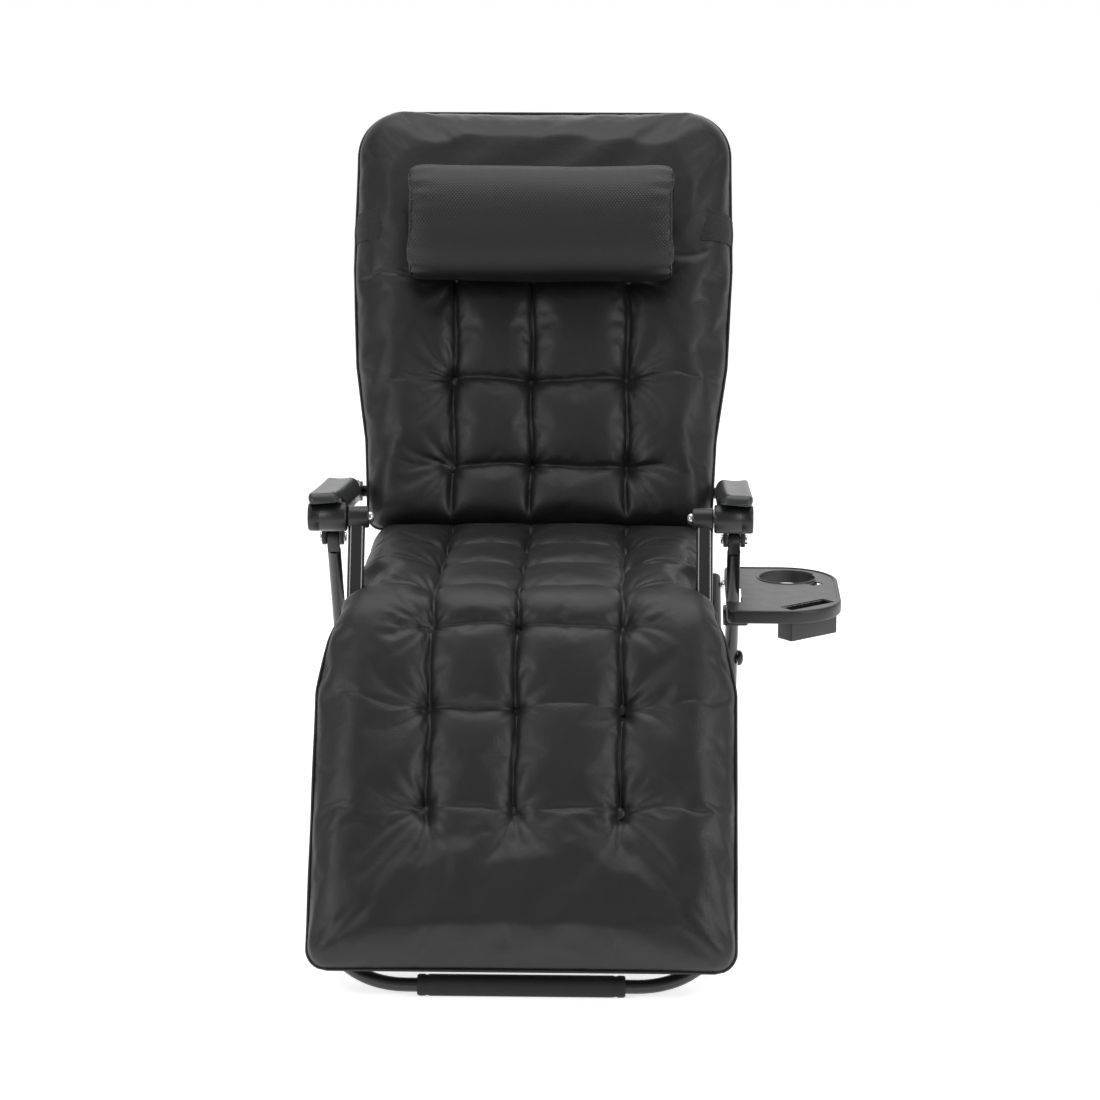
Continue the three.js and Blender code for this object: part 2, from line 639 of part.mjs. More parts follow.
function buildStrut(name, side) {
  const group = new THREE.Group();
  const lean = Math.atan2(ARM_JOINT.y - STRUT_FOOT.y, ARM_JOINT.z - STRUT_FOOT.z);
  const length = Math.hypot(ARM_JOINT.y - STRUT_FOOT.y, ARM_JOINT.z - STRUT_FOOT.z);
  group.position.set(0, STRUT_FOOT.y, STRUT_FOOT.z);
  group.rotation.x = -lean;

  // flat oval tube: a long section across, shallow front to back
  const centre = side * STRUT_X;
  const section = [];
  for (let i = 0; i < 16; i += 1) {
    const angle = (i / 16) * 2 * Math.PI;
    const shift = STRUT_FLAT * Math.sign(Math.round(Math.cos(angle) * 1e6));
    section.push([centre + shift + STRUT_ROUND * Math.cos(angle), STRUT_ROUND * Math.sin(angle)]);
  }
  const [xLow, xHigh] = mirroredRange(side, STRUT_X - 20, STRUT_X + 20);
  const collarRange = mirroredRange(side, 236, 267.5);
  const body = join(slab(section, -12, length - 10),
    pin(...collarRange, 16, 20).translate(0, 0, length));
  const strut = cut(body, pin(xLow, xHigh, SMALL_PIN_R + GAP), pin(...mirroredRange(side, 220, 290), 6 + GAP)
    .translate(0, 0, length));
  add(group, `strut_${name}`, strut, paintedSteel);
  return group;
}

// bolt from the inside of the strut's collar into the armrest's housing
function jointBolt(side) {
  return turned([
    [side * 229, 0], [side * 229, 5], [side * 231, 9], [side * (236 - GAP), 9], [side * (236 - GAP), 6],
    [side * 286, 6], [side * 286, 0]]);
}

function footBolt(side) {
  const inside = side * (RAIL_X + RAIL_R - 0.5);
  const outside = STRUT_X + 12.5 + GAP;
  return turned([
    [inside, 0], [inside, SMALL_PIN_R], [side * outside, SMALL_PIN_R], [side * outside, 8], [side * (outside + 3), 7],
    [side * (outside + 4), 0]]);
}

// clevis that grips the leg top plug, with a tongue that slides in the armrest channel; its shoulders
// stay clear under the channel's walls as the armrest comes down at full recline
const SLIDE_BLOCK = { half: 12, earThick: 7, shoulder: 17.5, tongueHalf: 6.5, tongueTop: 36 };

function slideBlock(side) {
  const { half, shoulder, tongueHalf, tongueTop } = SLIDE_BLOCK;
  const inner = PLUG_HALF + GAP;
  const ear = inner + SLIDE_BLOCK.earThick;
  const outline = [
    [-ear, -half], [-inner, -half], [-inner, half], [inner, half], [inner, -half], [ear, -half],
    [ear, shoulder], [tongueHalf, shoulder], [tongueHalf, tongueTop], [-tongueHalf, tongueTop],
    [-tongueHalf, shoulder], [-ear, shoulder]];
  const shape = new THREE.Shape(outline.map(([x, z]) => new THREE.Vector2(x, z)));
  const geometry = new THREE.ExtrudeGeometry(shape, { depth: 2 * half, bevelEnabled: false });
  geometry.applyMatrix4(new THREE.Matrix4().makeRotationX(Math.PI / 2));
  geometry.translate(0, half, 0);
  const bored = cut(geometry, pin(-2 * ear, 2 * ear, SMALL_PIN_R + GAP));
  return bored.translate(side * REAR_LEG_X, 0, 0);
}

function slideBolt(side) {
  const reach = 16 + 2 * GAP;
  const centre = side * REAR_LEG_X;
  return turned([
    [centre - reach - 4, 0], [centre - reach - 4, 7], [centre - reach, 7.5], [centre - reach, 4],
    [centre + reach, 4], [centre + reach, 7.5], [centre + reach + 4, 7], [centre + reach + 4, 0]]);
}

// hip pin through the front leg tube, the hip plate and the back rail, with a spacer sleeve
function hipPin(side) {
  const inner = RAIL_X - RAIL_R - 4;
  const outer = FRONT_LEG_X + LEG_TUBE_R + 1;
  return turned([
    [side * inner, 0], [side * inner, PIN_R], [side * outer, PIN_R], [side * outer, 9],
    [side * (outer + 5), 8], [side * (outer + 5), 0]]);
}

function hipSpacer(side) {
  const [from, to] = mirroredRange(side, RAIL_X + RAIL_R + 2.3 + GAP, FRONT_LEG_X - LEG_TUBE_R - GAP);
  return cut(pin(from, to, 9), pin(from - 5, to + 5, PIN_R + GAP));
}

// ---------------------------------------------------------------- side tray
function trayOutline(inset) {
  const { inner, outer, front, rear } = TRAY;
  const x0 = inner + inset;
  const x1 = outer - inset;
  const y0 = front + inset;
  const y1 = rear - inset;
  const r = TRAY.corner - inset;
  const notchFront = TUBE_NOTCH.front - inset;
  const notchRear = TUBE_NOTCH.rear + inset;
  const notchX = REAR_LEG_X + LEG_TUBE_R + 3 + inset;
  const points = [[x0, y0 + 12]];
  const arc = (cx, cy, radius, from, to, steps) => {
    for (let i = 0; i <= steps; i += 1) {
      const angle = THREE.MathUtils.degToRad(from + ((to - from) * i) / steps);
      points.push([cx + radius * Math.cos(angle), cy + radius * Math.sin(angle)]);
    }
  };
  arc(x0 + 12, y0 + 12, 12, 200, 270, 3);
  arc(x1 - r, y0 + r, r, 270, 360, 7);
  arc(x1 - r, y1 - r, r, 0, 90, 7);
  arc(x0 + 12, y1 - 12, 12, 90, 180, 3);
  points.push([x0, notchRear], [notchX, notchRear], [notchX, notchFront], [x0, notchFront]);
  return points;
}

const SLOT = { x: 411, y: 120, length: 86, width: 26, turn: THREE.MathUtils.degToRad(40), depth: 46 };

function slotBox(length, width, zLow, zHigh) {
  const box = new THREE.BoxGeometry(length, width, zHigh - zLow);
  box.rotateZ(SLOT.turn);
  return box.translate(SLOT.x, SLOT.y, (zLow + zHigh) / 2);
}

function upright(x, y, radius, zLow, zHigh, segments) {
  const tube = new THREE.CylinderGeometry(radius, radius, zHigh - zLow, segments);
  tube.rotateX(Math.PI / 2);
  return tube.translate(x, y, (zLow + zHigh) / 2);
}

function buildTray() {
  const group = new THREE.Group();
  const { top, depth, wall } = TRAY;
  const shell = cut(slab(trayOutline(0), top - depth, top), slab(trayOutline(wall), top - depth - 5, top - wall));
  const ring = cut(
    join(upright(CUP.x, CUP.y, CUP.r + 4, top - depth, top, 32), slotBox(SLOT.length + 2 * wall,
      SLOT.width + 2 * wall, top - SLOT.depth - wall, top - 1)),
    upright(CUP.x, CUP.y, CUP.r, top - depth - 9, top + 9, 32));
  const withPocket = join(shell, ring);
  const notch = new THREE.BoxGeometry(30, 22, 60).rotateZ(-Math.PI / 4)
    .translate(CUP.x + 36, CUP.y - 36, top);
  const tray = cut(withPocket, upright(CUP.x, CUP.y, CUP.r, top - depth - 9, top + 9, 32),
    slotBox(SLOT.length, SLOT.width, top - SLOT.depth, top + 20), notch, clampBody(GAP));
  add(group, 'tray', tray, trayPlastic);
  add(group, 'tray_clamp', trayClamp(), mouldedPlastic);
  return group;
}

// block round the leg tube, with an arm under the tray; grown by a margin it cuts its own window
const CLAMP_Z = TRAY.top - TRAY.depth - 20;
const clampY = LEG_TOP.y + ((LEG_TOP.z - CLAMP_Z) * (REAR_BAR.y - LEG_TOP.y)) / (LEG_TOP.z - REAR_BAR.z);
const rearLegLean = Math.atan2(REAR_BAR.y - LEG_TOP.y, LEG_TOP.z - REAR_BAR.z);

function clampBody(margin) {
  const grown = (x, y, z) => new THREE.BoxGeometry(x + 2 * margin, y + 2 * margin, z + 2 * margin);
  const armTop = TRAY.top - TRAY.wall - GAP;
  const block = grown(38, 40, 24).translate(REAR_LEG_X + 5, clampY, CLAMP_Z);
  const post = grown(12, 24, 34).translate(REAR_LEG_X + 19, clampY, CLAMP_Z + 9);
  const arm = grown(70, 30, 14).translate(REAR_LEG_X + 50, clampY, armTop - 7 - margin);
  return join(block, post, arm);
}

function trayClamp() {
  const bore = upright(0, 0, LEG_TUBE_R + GAP, -120, 120, 20).rotateX(rearLegLean);
  return cut(clampBody(0), bore.translate(REAR_LEG_X, clampY, CLAMP_Z));
}

// ---------------------------------------------------------------- whole recliner
function buildRecliner() {
  const recliner = new THREE.Group();
  recliner.add(buildBase(), buildSeat(), buildBack(), buildPillow(), buildTray());
  for (const [name, side] of SIDES) {
    const arm = buildArm(name, side);
    add(arm.group, `lock_lever_${name}`, arm.lever, mouldedPlastic);
    recliner.add(arm.group, buildStrut(name, side));
    add(recliner, `arm_joint_bolt_${name}`, jointBolt(side), polishedSteel, ARM_JOINT);
    add(recliner, `strut_foot_bolt_${name}`, footBolt(side), polishedSteel, STRUT_FOOT);
    add(recliner, `slide_block_${name}`, slideBlock(side), mouldedPlastic, LEG_TOP).rotation.x = -armSlope;
    add(recliner, `slide_bolt_${name}`, slideBolt(side), polishedSteel, LEG_TOP);
    add(recliner, `hip_pin_${name}`, hipPin(side), polishedSteel, HIP);
    add(recliner, `hip_spacer_${name}`, hipSpacer(side), mouldedPlastic, HIP);
  }
  return recliner;
}

export default buildRecliner();
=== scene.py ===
"""Zero gravity recliner: soft goods, smooth hardware, materials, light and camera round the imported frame.

Metres, +Z up, +Y to the chair's rear, +X to the sitter's left.
"""

import math

import bmesh
import bpy
import numpy as np
from mathutils import Matrix, Vector


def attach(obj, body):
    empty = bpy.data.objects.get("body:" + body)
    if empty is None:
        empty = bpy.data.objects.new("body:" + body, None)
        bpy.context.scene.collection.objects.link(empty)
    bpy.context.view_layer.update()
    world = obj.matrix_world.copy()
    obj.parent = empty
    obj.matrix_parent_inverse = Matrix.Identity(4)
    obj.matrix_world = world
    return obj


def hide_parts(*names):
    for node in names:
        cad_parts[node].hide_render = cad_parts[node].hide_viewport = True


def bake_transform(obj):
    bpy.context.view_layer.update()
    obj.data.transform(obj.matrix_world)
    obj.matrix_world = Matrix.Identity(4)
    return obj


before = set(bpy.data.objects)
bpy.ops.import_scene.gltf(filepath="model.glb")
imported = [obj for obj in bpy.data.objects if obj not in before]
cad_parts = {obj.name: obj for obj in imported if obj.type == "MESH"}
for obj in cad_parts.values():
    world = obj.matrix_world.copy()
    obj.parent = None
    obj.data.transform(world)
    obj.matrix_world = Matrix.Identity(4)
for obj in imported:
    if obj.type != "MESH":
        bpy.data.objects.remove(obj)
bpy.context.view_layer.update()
SIDES = (("left", 1), ("right", -1))

# ---------------------------------------------------------------- driving dimensions
HIP = (0.417, 0.400)            # side view places are (y, z)
ARM_JOINT = (0.0, 0.597)
ARM_REAR = (0.480, 0.534)
STRUT_FOOT = (HIP[0] + ARM_JOINT[0] - ARM_REAR[0], HIP[1] + ARM_JOINT[1] - ARM_REAR[1])
LEG_TOP = (0.120, 0.540)
FRONT_BAR = (-0.385, 0.014)
REAR_BAR = (0.451, 0.014)
CROSS = (0.2554, 0.3223)
BACK_LEAN = math.radians(25)
LEG_SLOPE = math.radians(57)
ARM_SLOPE = math.atan2(ARM_JOINT[1] - ARM_REAR[1], ARM_REAR[0] - ARM_JOINT[0])
ARM_LENGTH = math.hypot(ARM_JOINT[1] - ARM_REAR[1], ARM_REAR[0] - ARM_JOINT[0])
RAIL_X, STRUT_X, FRONT_LEG_X, REAR_LEG_X = 0.228, 0.254, 0.276, 0.300
LEG_TUBE_R, RAIL_R = 0.010, 0.011
TUFT_X = (-0.136, -0.014, 0.136)
BUTTON_R = 0.0104
LUG_EYE = 0.011
PILLOW_AT, STRAP_AT = 0.546, 0.561      # up the back from the hip
STRAP_FRONT = 0.1035                    # in front of the back rails
ROOM_LIGHT, COVE_LIGHT = 0.33, 0.95     # the studio in front of the chair, and the white cove behind it


# ---------------------------------------------------------------- camera and light
def make_camera():
    target = Vector((0.0255, 0.100, 0.5264))
    azimuth, elevation, distance = math.radians(1.70), math.radians(12.87), 5.512
    away = Vector((math.sin(azimuth) * math.cos(elevation), -math.cos(azimuth) * math.cos(elevation),
                   math.sin(elevation)))
    data = bpy.data.cameras.new("camera")
    data.sensor_width = 36.0
    data.lens = 121.0
    camera = bpy.data.objects.new("camera", data)
    camera.location = target + away * distance
    camera.rotation_euler = (-away).to_track_quat("-Z", "Y").to_euler()
    bpy.context.scene.collection.objects.link(camera)
    bpy.context.scene.camera = camera


def add_area(name, place, aim, size, power):
    data = bpy.data.lights.new(name, "AREA")
    data.shape = "RECTANGLE"
    data.size, data.size_y = size
    data.energy = power
    light = bpy.data.objects.new(name, data)
    light.location = place
    light.rotation_euler = (Vector(aim) - Vector(place)).to_track_quat("-Z", "Y").to_euler()
    bpy.context.scene.collection.objects.link(light)


def make_light():
    world = bpy.data.worlds.new("studio")
    bpy.context.scene.world = world
    world.use_nodes = True
    tree = world.node_tree
    room = tree.nodes["Background"]
    room.inputs["Color"].default_value = (1, 1, 1, 1)
    towards = add_node(tree, "ShaderNodeTexCoord").outputs["Generated"]
    to_rear = add_node(tree, "ShaderNodeSeparateXYZ", {"Vector": towards}).outputs["Y"]
    cove = add_node(tree, "ShaderNodeMapRange", {"Value": to_rear, "From Min": 0.1, "From Max": 0.8,
                    "To Min": ROOM_LIGHT, "To Max": COVE_LIGHT}, interpolation_type="SMOOTHSTEP")
    tree.links.new(cove.outputs["Result"], room.inputs["Strength"])
    backdrop = add_node(tree, "ShaderNodeBackground", {"Color": (1, 1, 1, 1), "Strength": 1.0})
    seen = add_node(tree, "ShaderNodeLightPath").outputs["Is Camera Ray"]
    choice = add_node(tree, "ShaderNodeMixShader", {0: seen, 1: room.outputs[0], 2: backdrop.outputs[0]})
    tree.links.new(choice.outputs[0], tree.nodes["World Output"].inputs["Surface"])
    bpy.context.scene.view_settings.view_transform = "Standard"
    middle = (0, 0.1, 0.55)
    add_area("overhead_softbox", (0, 0.4, 3.6), middle, (3.4, 2.4), 60)
    add_area("front_left_softbox", (-2.8, -2.2, 2.1), middle, (0.9, 1.9), 36)
    add_area("front_right_softbox", (2.9, -1.8, 1.9), middle, (0.9, 1.9), 38)
    add_area("rear_rim_softbox", (0.4, 3.6, 2.2), middle, (3.0, 1.4), 16)


# ---------------------------------------------------------------- materials
WAVE_PERIOD = 2 * math.pi / 20       # a wave texture of this scale has bands one unit apart


def srgb(code):
    """sRGB hex such as 1a1b1c to a linear RGBA colour."""
    channels = [int(code[i:i + 2], 16) / 255 for i in (0, 2, 4)]
    linear = [c / 12.92 if c <= 0.04045 else ((c + 0.055) / 1.055) ** 2.4 for c in channels]
    return (*linear, 1.0)


def add_node(tree, kind, values=(), **settings):
    """Adds a node, sets its properties, and fills or links its inputs."""
    node = tree.nodes.new(kind)
    for name, value in settings.items():
        setattr(node, name, value)
    for name, value in dict(values).items():
        if isinstance(value, bpy.types.NodeSocket):
            tree.links.new(value, node.inputs[name])
        else:
            node.inputs[name].default_value = value
    return node


def new_material(name):
    material = bpy.data.materials.new(name)
    material.use_nodes = True
    tree = material.node_tree
    shader = tree.nodes["Principled BSDF"]
    return material, tree, shader


def two_colours(tree, factor, dark, light):
    mix = tree.nodes.new("ShaderNodeMix")
    mix.data_type = "RGBA"
    tree.links.new(factor, mix.inputs[0])
    mix.inputs[6].default_value = srgb(dark)
    mix.inputs[7].default_value = srgb(light)
    return mix.outputs[2]


def ranged(tree, value, low, high):
    node = add_node(tree, "ShaderNodeMapRange", {"Value": value, "To Min": low, "To Max": high})
    return node.outputs["Result"]


def object_place(tree):
    return add_node(tree, "ShaderNodeTexCoord").outputs["Object"]


def noise(tree, place, size, detail=3.0):
    """Noise whose lumps are about size metres across."""
    node = add_node(tree, "ShaderNodeTexNoise", {"Vector": place, "Scale": 1 / size, "Detail": detail})
    return node.outputs["Fac"]


def bump(tree, height, distance, strength=1.0, under=None):
    values = {"Height": height, "Distance": distance, "Strength": strength}
    if under is not None:
        values["Normal"] = under
    return add_node(tree, "ShaderNodeBump", values).outputs["Normal"]


def polyurethane_leather():
    """Soft polyurethane leather, embossed on knit: matte, with a fine pebble grain and a faint bloom."""
    material, tree, shader = new_material("embossed_polyurethane_leather")
    place = object_place(tree)
    clouds = noise(tree, place, 0.11)
    tree.links.new(two_colours(tree, clouds, "0a0a0b", "131314"), shader.inputs["Base Color"])
    tree.links.new(ranged(tree, noise(tree, place, 0.03), 0.42, 0.56), shader.inputs["Roughness"])
    shader.inputs["IOR"].default_value = 1.5
    shader.inputs["Sheen Weight"].default_value = 0.05
    shader.inputs["Sheen Roughness"].default_value = 0.4
    # the pebble grain is about 1.2 mm on the real cover and is drawn at 2.2 mm so that it shows
    grain = add_node(tree, "ShaderNodeTexVoronoi", {"Vector": place, "Scale": 1 / 0.0022})
    fine = bump(tree, grain.outputs["Distance"], 0.00022, 0.55)
    soft = bump(tree, noise(tree, place, 0.020, 5.0), 0.0014, 0.55, fine)
    tree.links.new(soft, shader.inputs["Normal"])
    return material


def woven(name, dark, light, pitch, roughness, depth, sheen=0.0):
    """Crossed diagonal threads on a UV map in metres; pitch is the distance between threads."""
    material, tree, shader = new_material(name)
    uv = add_node(tree, "ShaderNodeUVMap", uv_map="metres").outputs["UV"]
    threads = []
    for turn in (45, -45):
        turned_place = add_node(tree, "ShaderNodeMapping",
                                {"Vector": uv, "Rotation": (0, 0, math.radians(turn))})
        wave = add_node(tree, "ShaderNodeTexWave", {"Vector": turned_place.outputs["Vector"],
                        "Scale": WAVE_PERIOD / pitch, "Distortion": 0.25, "Detail": 1.0})
        threads.append(wave.outputs["Fac"])
    crossed = add_node(tree, "ShaderNodeMath", operation="MULTIPLY")
    tree.links.new(threads[0], crossed.inputs[0])
    tree.links.new(threads[1], crossed.inputs[1])
    tree.links.new(two_colours(tree, crossed.outputs[0], dark, light), shader.inputs["Base Color"])
    tree.links.new(ranged(tree, crossed.outputs[0], roughness + 0.12, roughness - 0.06),
                   shader.inputs["Roughness"])
    shader.inputs["Sheen Weight"].default_value = sheen
    shader.inputs["Sheen Roughness"].default_value = 0.35
    tree.links.new(bump(tree, crossed.outputs[0], depth, 0.8), shader.inputs["Normal"])
    return material


def ribbed_webbing():
    """Woven elastic webbing: ribs of rubber warp under polyester, running along the band."""
    material, tree, shader = new_material("ribbed_elastic_webbing")
    uv = add_node(tree, "ShaderNodeUVMap", uv_map="metres").outputs["UV"]
    ribs = add_node(tree, "ShaderNodeTexWave",
                    {"Vector": uv, "Scale": WAVE_PERIOD / 0.0028, "Distortion": 0.6}, bands_direction="Y")
    picks = add_node(tree, "ShaderNodeTexWave",
                     {"Vector": uv, "Scale": WAVE_PERIOD / 0.0024, "Distortion": 0.3}, bands_direction="X")
    both = add_node(tree, "ShaderNodeMath", operation="MULTIPLY")
    tree.links.new(ribs.outputs["Fac"], both.inputs[0])
    tree.links.new(picks.outputs["Fac"], both.inputs[1])
    tree.links.new(two_colours(tree, both.outputs[0], "0c0c0d", "222224"), shader.inputs["Base Color"])
    shader.inputs["Roughness"].default_value = 0.66
    tree.links.new(bump(tree, both.outputs[0], 0.0007, 0.9), shader.inputs["Normal"])
    return material


def moulded(name, dark, light, roughness, grain):
    """Injection moulded plastic with a spark-eroded grain and slightly uneven gloss."""
    material, tree, shader = new_material(name)
    place = object_place(tree)
    tree.links.new(two_colours(tree, noise(tree, place, 0.05), dark, light), shader.inputs["Base Color"])
    tree.links.new(ranged(tree, noise(tree, place, 0.02), roughness - 0.05, roughness + 0.07),
                   shader.inputs["Roughness"])
    shader.inputs["IOR"].default_value = 1.49
    tree.links.new(bump(tree, noise(tree, place, grain, 1.0), 0.00012, 0.6), shader.inputs["Normal"])
    return material


def powder_coat(name, roughness, coat):
    """Black powder coat on steel tube: an even film with faint orange peel."""
    material, tree, shader = new_material(name)
    place = object_place(tree)
    film = two_colours(tree, noise(tree, place, 0.08), "101113", "191a1c")
    tree.links.new(film, shader.inputs["Base Color"])
    tree.links.new(ranged(tree, noise(tree, place, 0.03), roughness - 0.04, roughness + 0.06),
                   shader.inputs["Roughness"])
    shader.inputs["Coat Weight"].default_value = coat
    shader.inputs["Coat Roughness"].default_value = 0.12
    tree.links.new(bump(tree, noise(tree, place, 0.0035, 2.0), 0.00018, 0.5), shader.inputs["Normal"])
    return material


def nickel_plate():
    """Nickel plated steel fasteners: bright, with a gloss that wanders a little over each part."""
    material, tree, shader = new_material("nickel_plated_steel")
    place = object_place(tree)
    plating = two_colours(tree, noise(tree, place, 0.01), "b9b8b4", "dcdcda")
    tree.links.new(plating, shader.inputs["Base Color"])
    shader.inputs["Metallic"].default_value = 1.0
    tree.links.new(ranged(tree, noise(tree, place, 0.004), 0.16, 0.30), shader.inputs["Roughness"])
    return material


def floor_paint():
    """Matte white studio paint, lit by itself a little so that it stays white far from the lamps."""
    material, _, shader = new_material("matte_floor_paint")
    shader.inputs["Base Color"].default_value = srgb("f6f6f5")
    shader.inputs["Roughness"].default_value = 0.9
    shader.inputs["Emission Color"].default_value = srgb("ffffff")
    shader.inputs["Emission Strength"].default_value = 0.62
    return material


# each finish is a material and a colour slot name; the pieces get only the material, and the slot name is not
# used
LEATHER = (polyurethane_leather(), "cushion_leather")
PILLOW_WEAVE = (woven("sateen_mesh_weave", "060607", "242325", 0.0036, 0.34, 0.0005), "pillow_fabric")
SLING_WEAVE = (woven("vinyl_coated_mesh", "0d0d0e", "2b2c2e", 0.0032, 0.62, 0.0005), "sling_fabric")
WEBBING = (ribbed_webbing(), "strap_elastic")
LACE = (moulded("braided_elastic_cord", "0e0e0f", "1c1c1d", 0.7, 0.002), "elastic_lacing")
NYLON = (moulded("moulded_nylon", "121213", "1b1c1d", 0.36, 0.0012), "moulded_plastic")
ABS = (moulded("moulded_abs", "27282a", "303133", 0.33, 0.0010), "armrest_plastic")
TRAY_PP = (moulded("moulded_polypropylene", "1c1d1f", "252628", 0.40, 0.0011), "tray_plastic")
RUBBER = (moulded("moulded_rubber", "111112", "191919", 0.72, 0.0014), "foot_rubber")
LEG_PAINT = (powder_coat("satin_powder_coat", 0.34, 0.25), "leg_tube_paint")
RAIL_PAINT = (LEG_PAINT[0], "rail_paint")
STRUT_PAINT = (powder_coat("gloss_powder_coat", 0.16, 0.9), "strut_paint")
NICKEL = (nickel_plate(), "bolt_steel")


# ---------------------------------------------------------------- mesh helpers
def new_piece(name, vertices, faces, finish, smooth=True, uv=None):
    material, slot = finish
    mesh = bpy.data.meshes.new(name)
    mesh.from_pydata([tuple(v) for v in vertices], [], faces)
    mesh.polygons.foreach_set("use_smooth", [smooth] * len(mesh.polygons))
    if uv is not None:
        layer = mesh.uv_layers.new(name="metres")
        for loop in mesh.loops:
            layer.data[loop.index].uv = uv[loop.vertex_index]
    mesh.materials.append(material)
    piece = bpy.data.objects.new(name, mesh)
    bpy.context.scene.collection.objects.link(piece)
    return piece


def face_outwards(piece):
    shape = bmesh.new()
    shape.from_mesh(piece.data)
    bmesh.ops.recalc_face_normals(shape, faces=shape.faces)
    shape.to_mesh(piece.data)
    shape.free()
    return piece


def apply_modifiers(piece):
    depsgraph = bpy.context.evaluated_depsgraph_get()
    mesh = bpy.data.meshes.new_from_object(piece.evaluated_get(depsgraph))
    piece.modifiers.clear()
    piece.data = mesh
    return piece


def softened(piece, width, segments=3, angle=35):
    """Rounds the sharp edges of a piece and keeps its flats flat."""
    bevel = piece.modifiers.new("edge_radius", "BEVEL")
    bevel.width = width
    bevel.segments = segments
    bevel.limit_method = "ANGLE"
    bevel.angle_limit = math.radians(angle)
    bevel.harden_normals = False
    apply_modifiers(piece)
    return shade_by_angle(piece, 40)


def shade_by_angle(piece, degrees):
    mesh = piece.data
    mesh.polygons.foreach_set("use_smooth", [True] * len(mesh.polygons))
    mesh.set_sharp_from_angle(angle=math.radians(degrees))
    return piece


def finish_piece(piece, body, *nodes):
    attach(piece, body)
    if nodes:
        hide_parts(*nodes)
    return piece


def rounded_line(points, radius, steps=10):
    """Points of a polyline whose corners are arcs of the given radius."""
    points = [Vector(p) for p in points]
    line = [points[0]]
    for before, corner, after in zip(points, points[1:], points[2:]):
        inward = (corner - before).normalized()
        outward = (after - corner).normalized()
        turn = inward.angle(outward)
        reach = radius * math.tan(turn / 2)
        start = corner - inward * reach
        to_centre = (outward - inward).normalized()
        centre = corner + to_centre * (radius / math.cos(turn / 2))
        arm = start - centre
        axis = inward.cross(outward).normalized()
        for i in range(steps + 1):
            line.append(centre + Matrix.Rotation(turn * i / steps, 3, axis) @ arm)
    line.append(points[-1])
    return line


def tube_faces(rings, count):
    """Faces of a closed tube of rings of count points each, with a cap on both ends."""
    faces = []
    for i in range(rings - 1):
        for j in range(count):
            k = (j + 1) % count
            faces.append((i * count + j, i * count + k, (i + 1) * count + k, (i + 1) * count + j))
    faces.append(tuple(range(count))[::-1])
    faces.append(tuple((rings - 1) * count + j for j in range(count)))
    return faces


def swept(name, line, section, finish):
    """Sweeps a closed section of (across, up) points along a line, with flat ends."""
    line = [Vector(p) for p in line]
    last = len(line) - 1
    tangents = [(line[min(i + 1, last)] - line[max(i - 1, 0)]).normalized() for i in range(len(line))]
    across = tangents[0].orthogonal().normalized()
    vertices = []
    for point, tangent in zip(line, tangents):
        across = (across - tangent * across.dot(tangent)).normalized()
        up = tangent.cross(across)
        vertices += [point + across * a + up * b for a, b in section]
    faces = tube_faces(len(line), len(section))
    return shade_by_angle(face_outwards(new_piece(name, vertices, faces, finish)), 50)


def ring(radius, count=28):
    return [(radius * math.cos(2 * math.pi * i / count), radius * math.sin(2 * math.pi * i / count))
            for i in range(count)]


def arc(radius, start, stop, step):
    """Points of an arc round (0, 0), at whole degrees."""
    return [(radius * math.cos(math.radians(a)), radius * math.sin(math.radians(a)))
            for a in range(start, stop, step)]


def turned(name, profile, place, finish, count=40):
    """Turns (x, radius) points round the X axis through a (y, z) place."""
    vertices = [(x, place[0] + y, place[1] + z) for x, r in profile for y, z in ring(r, count)]
    faces = tube_faces(len(profile), count)
    return shade_by_angle(face_outwards(new_piece(name, vertices, faces, finish)), 50)


def plate(name, outline, low, high, finish, radius, local=None):
    """Extrudes a (y, z) outline from x = low to x = high and rounds its edges."""
    count = len(outline)
    vertices = [(x, y, z) for x in (low, high) for y, z in outline]
    faces = [tuple(range(count)), tuple(range(count, 2 * count))[::-1]]
    faces += [(i, (i + 1) % count, count + (i + 1) % count, count + i) for i in range(count)]
    piece = face_outwards(new_piece(name, vertices, faces, finish))
    if local is not None:
        piece.data.transform(local)
    return softened(piece, radius)


def cut_out(piece, *cutters):
    """Subtracts helper solids from a piece and removes them."""
    for cutter in cutters:
        boolean = piece.modifiers.new("cut", "BOOLEAN")
        boolean.operation = "DIFFERENCE"
        boolean.solver = "EXACT"
        boolean.object = cutter
        apply_modifiers(piece)
        bpy.data.objects.remove(cutter, do_unlink=True)
    return piece


def side_frame(place, angle):
    """Matrix of a local frame at a (y, z) place, turned about X."""
    return Matrix.Translation((0, *place)) @ Matrix.Rotation(angle, 4, "X")


BACK = side_frame(HIP, -BACK_LEAN)
ARM = side_frame(ARM_JOINT, -ARM_SLOPE)


# ---------------------------------------------------------------- cushion forms
class FrontLine:
    """Side view line of a cushion's front face, with a distance along it and a normal to the sitter."""

    def __init__(self, points, radius):
        dense = [Vector((0, *p)) for p in points]
        if radius:
            dense = rounded_line(dense, radius, 14)
        self.points = np.array([(p.y, p.z) for p in dense])
        steps = np.hypot(*np.diff(self.points, axis=0).T)
        self.along = np.concatenate([[0], np.cumsum(steps)])
        self.length = float(self.along[-1])

    def at(self, s):
        y_at, z_at = self.points.T
        y = np.interp(s, self.along, y_at)
        z = np.interp(s, self.along, z_at)
        ds = 0.004
        ty = np.interp(s + ds, self.along, y_at) - np.interp(s - ds, self.along, y_at)
        tz = np.interp(s + ds, self.along, z_at) - np.interp(s - ds, self.along, z_at)
        size = np.hypot(ty, tz)
        return y, z, tz / size, -ty / size


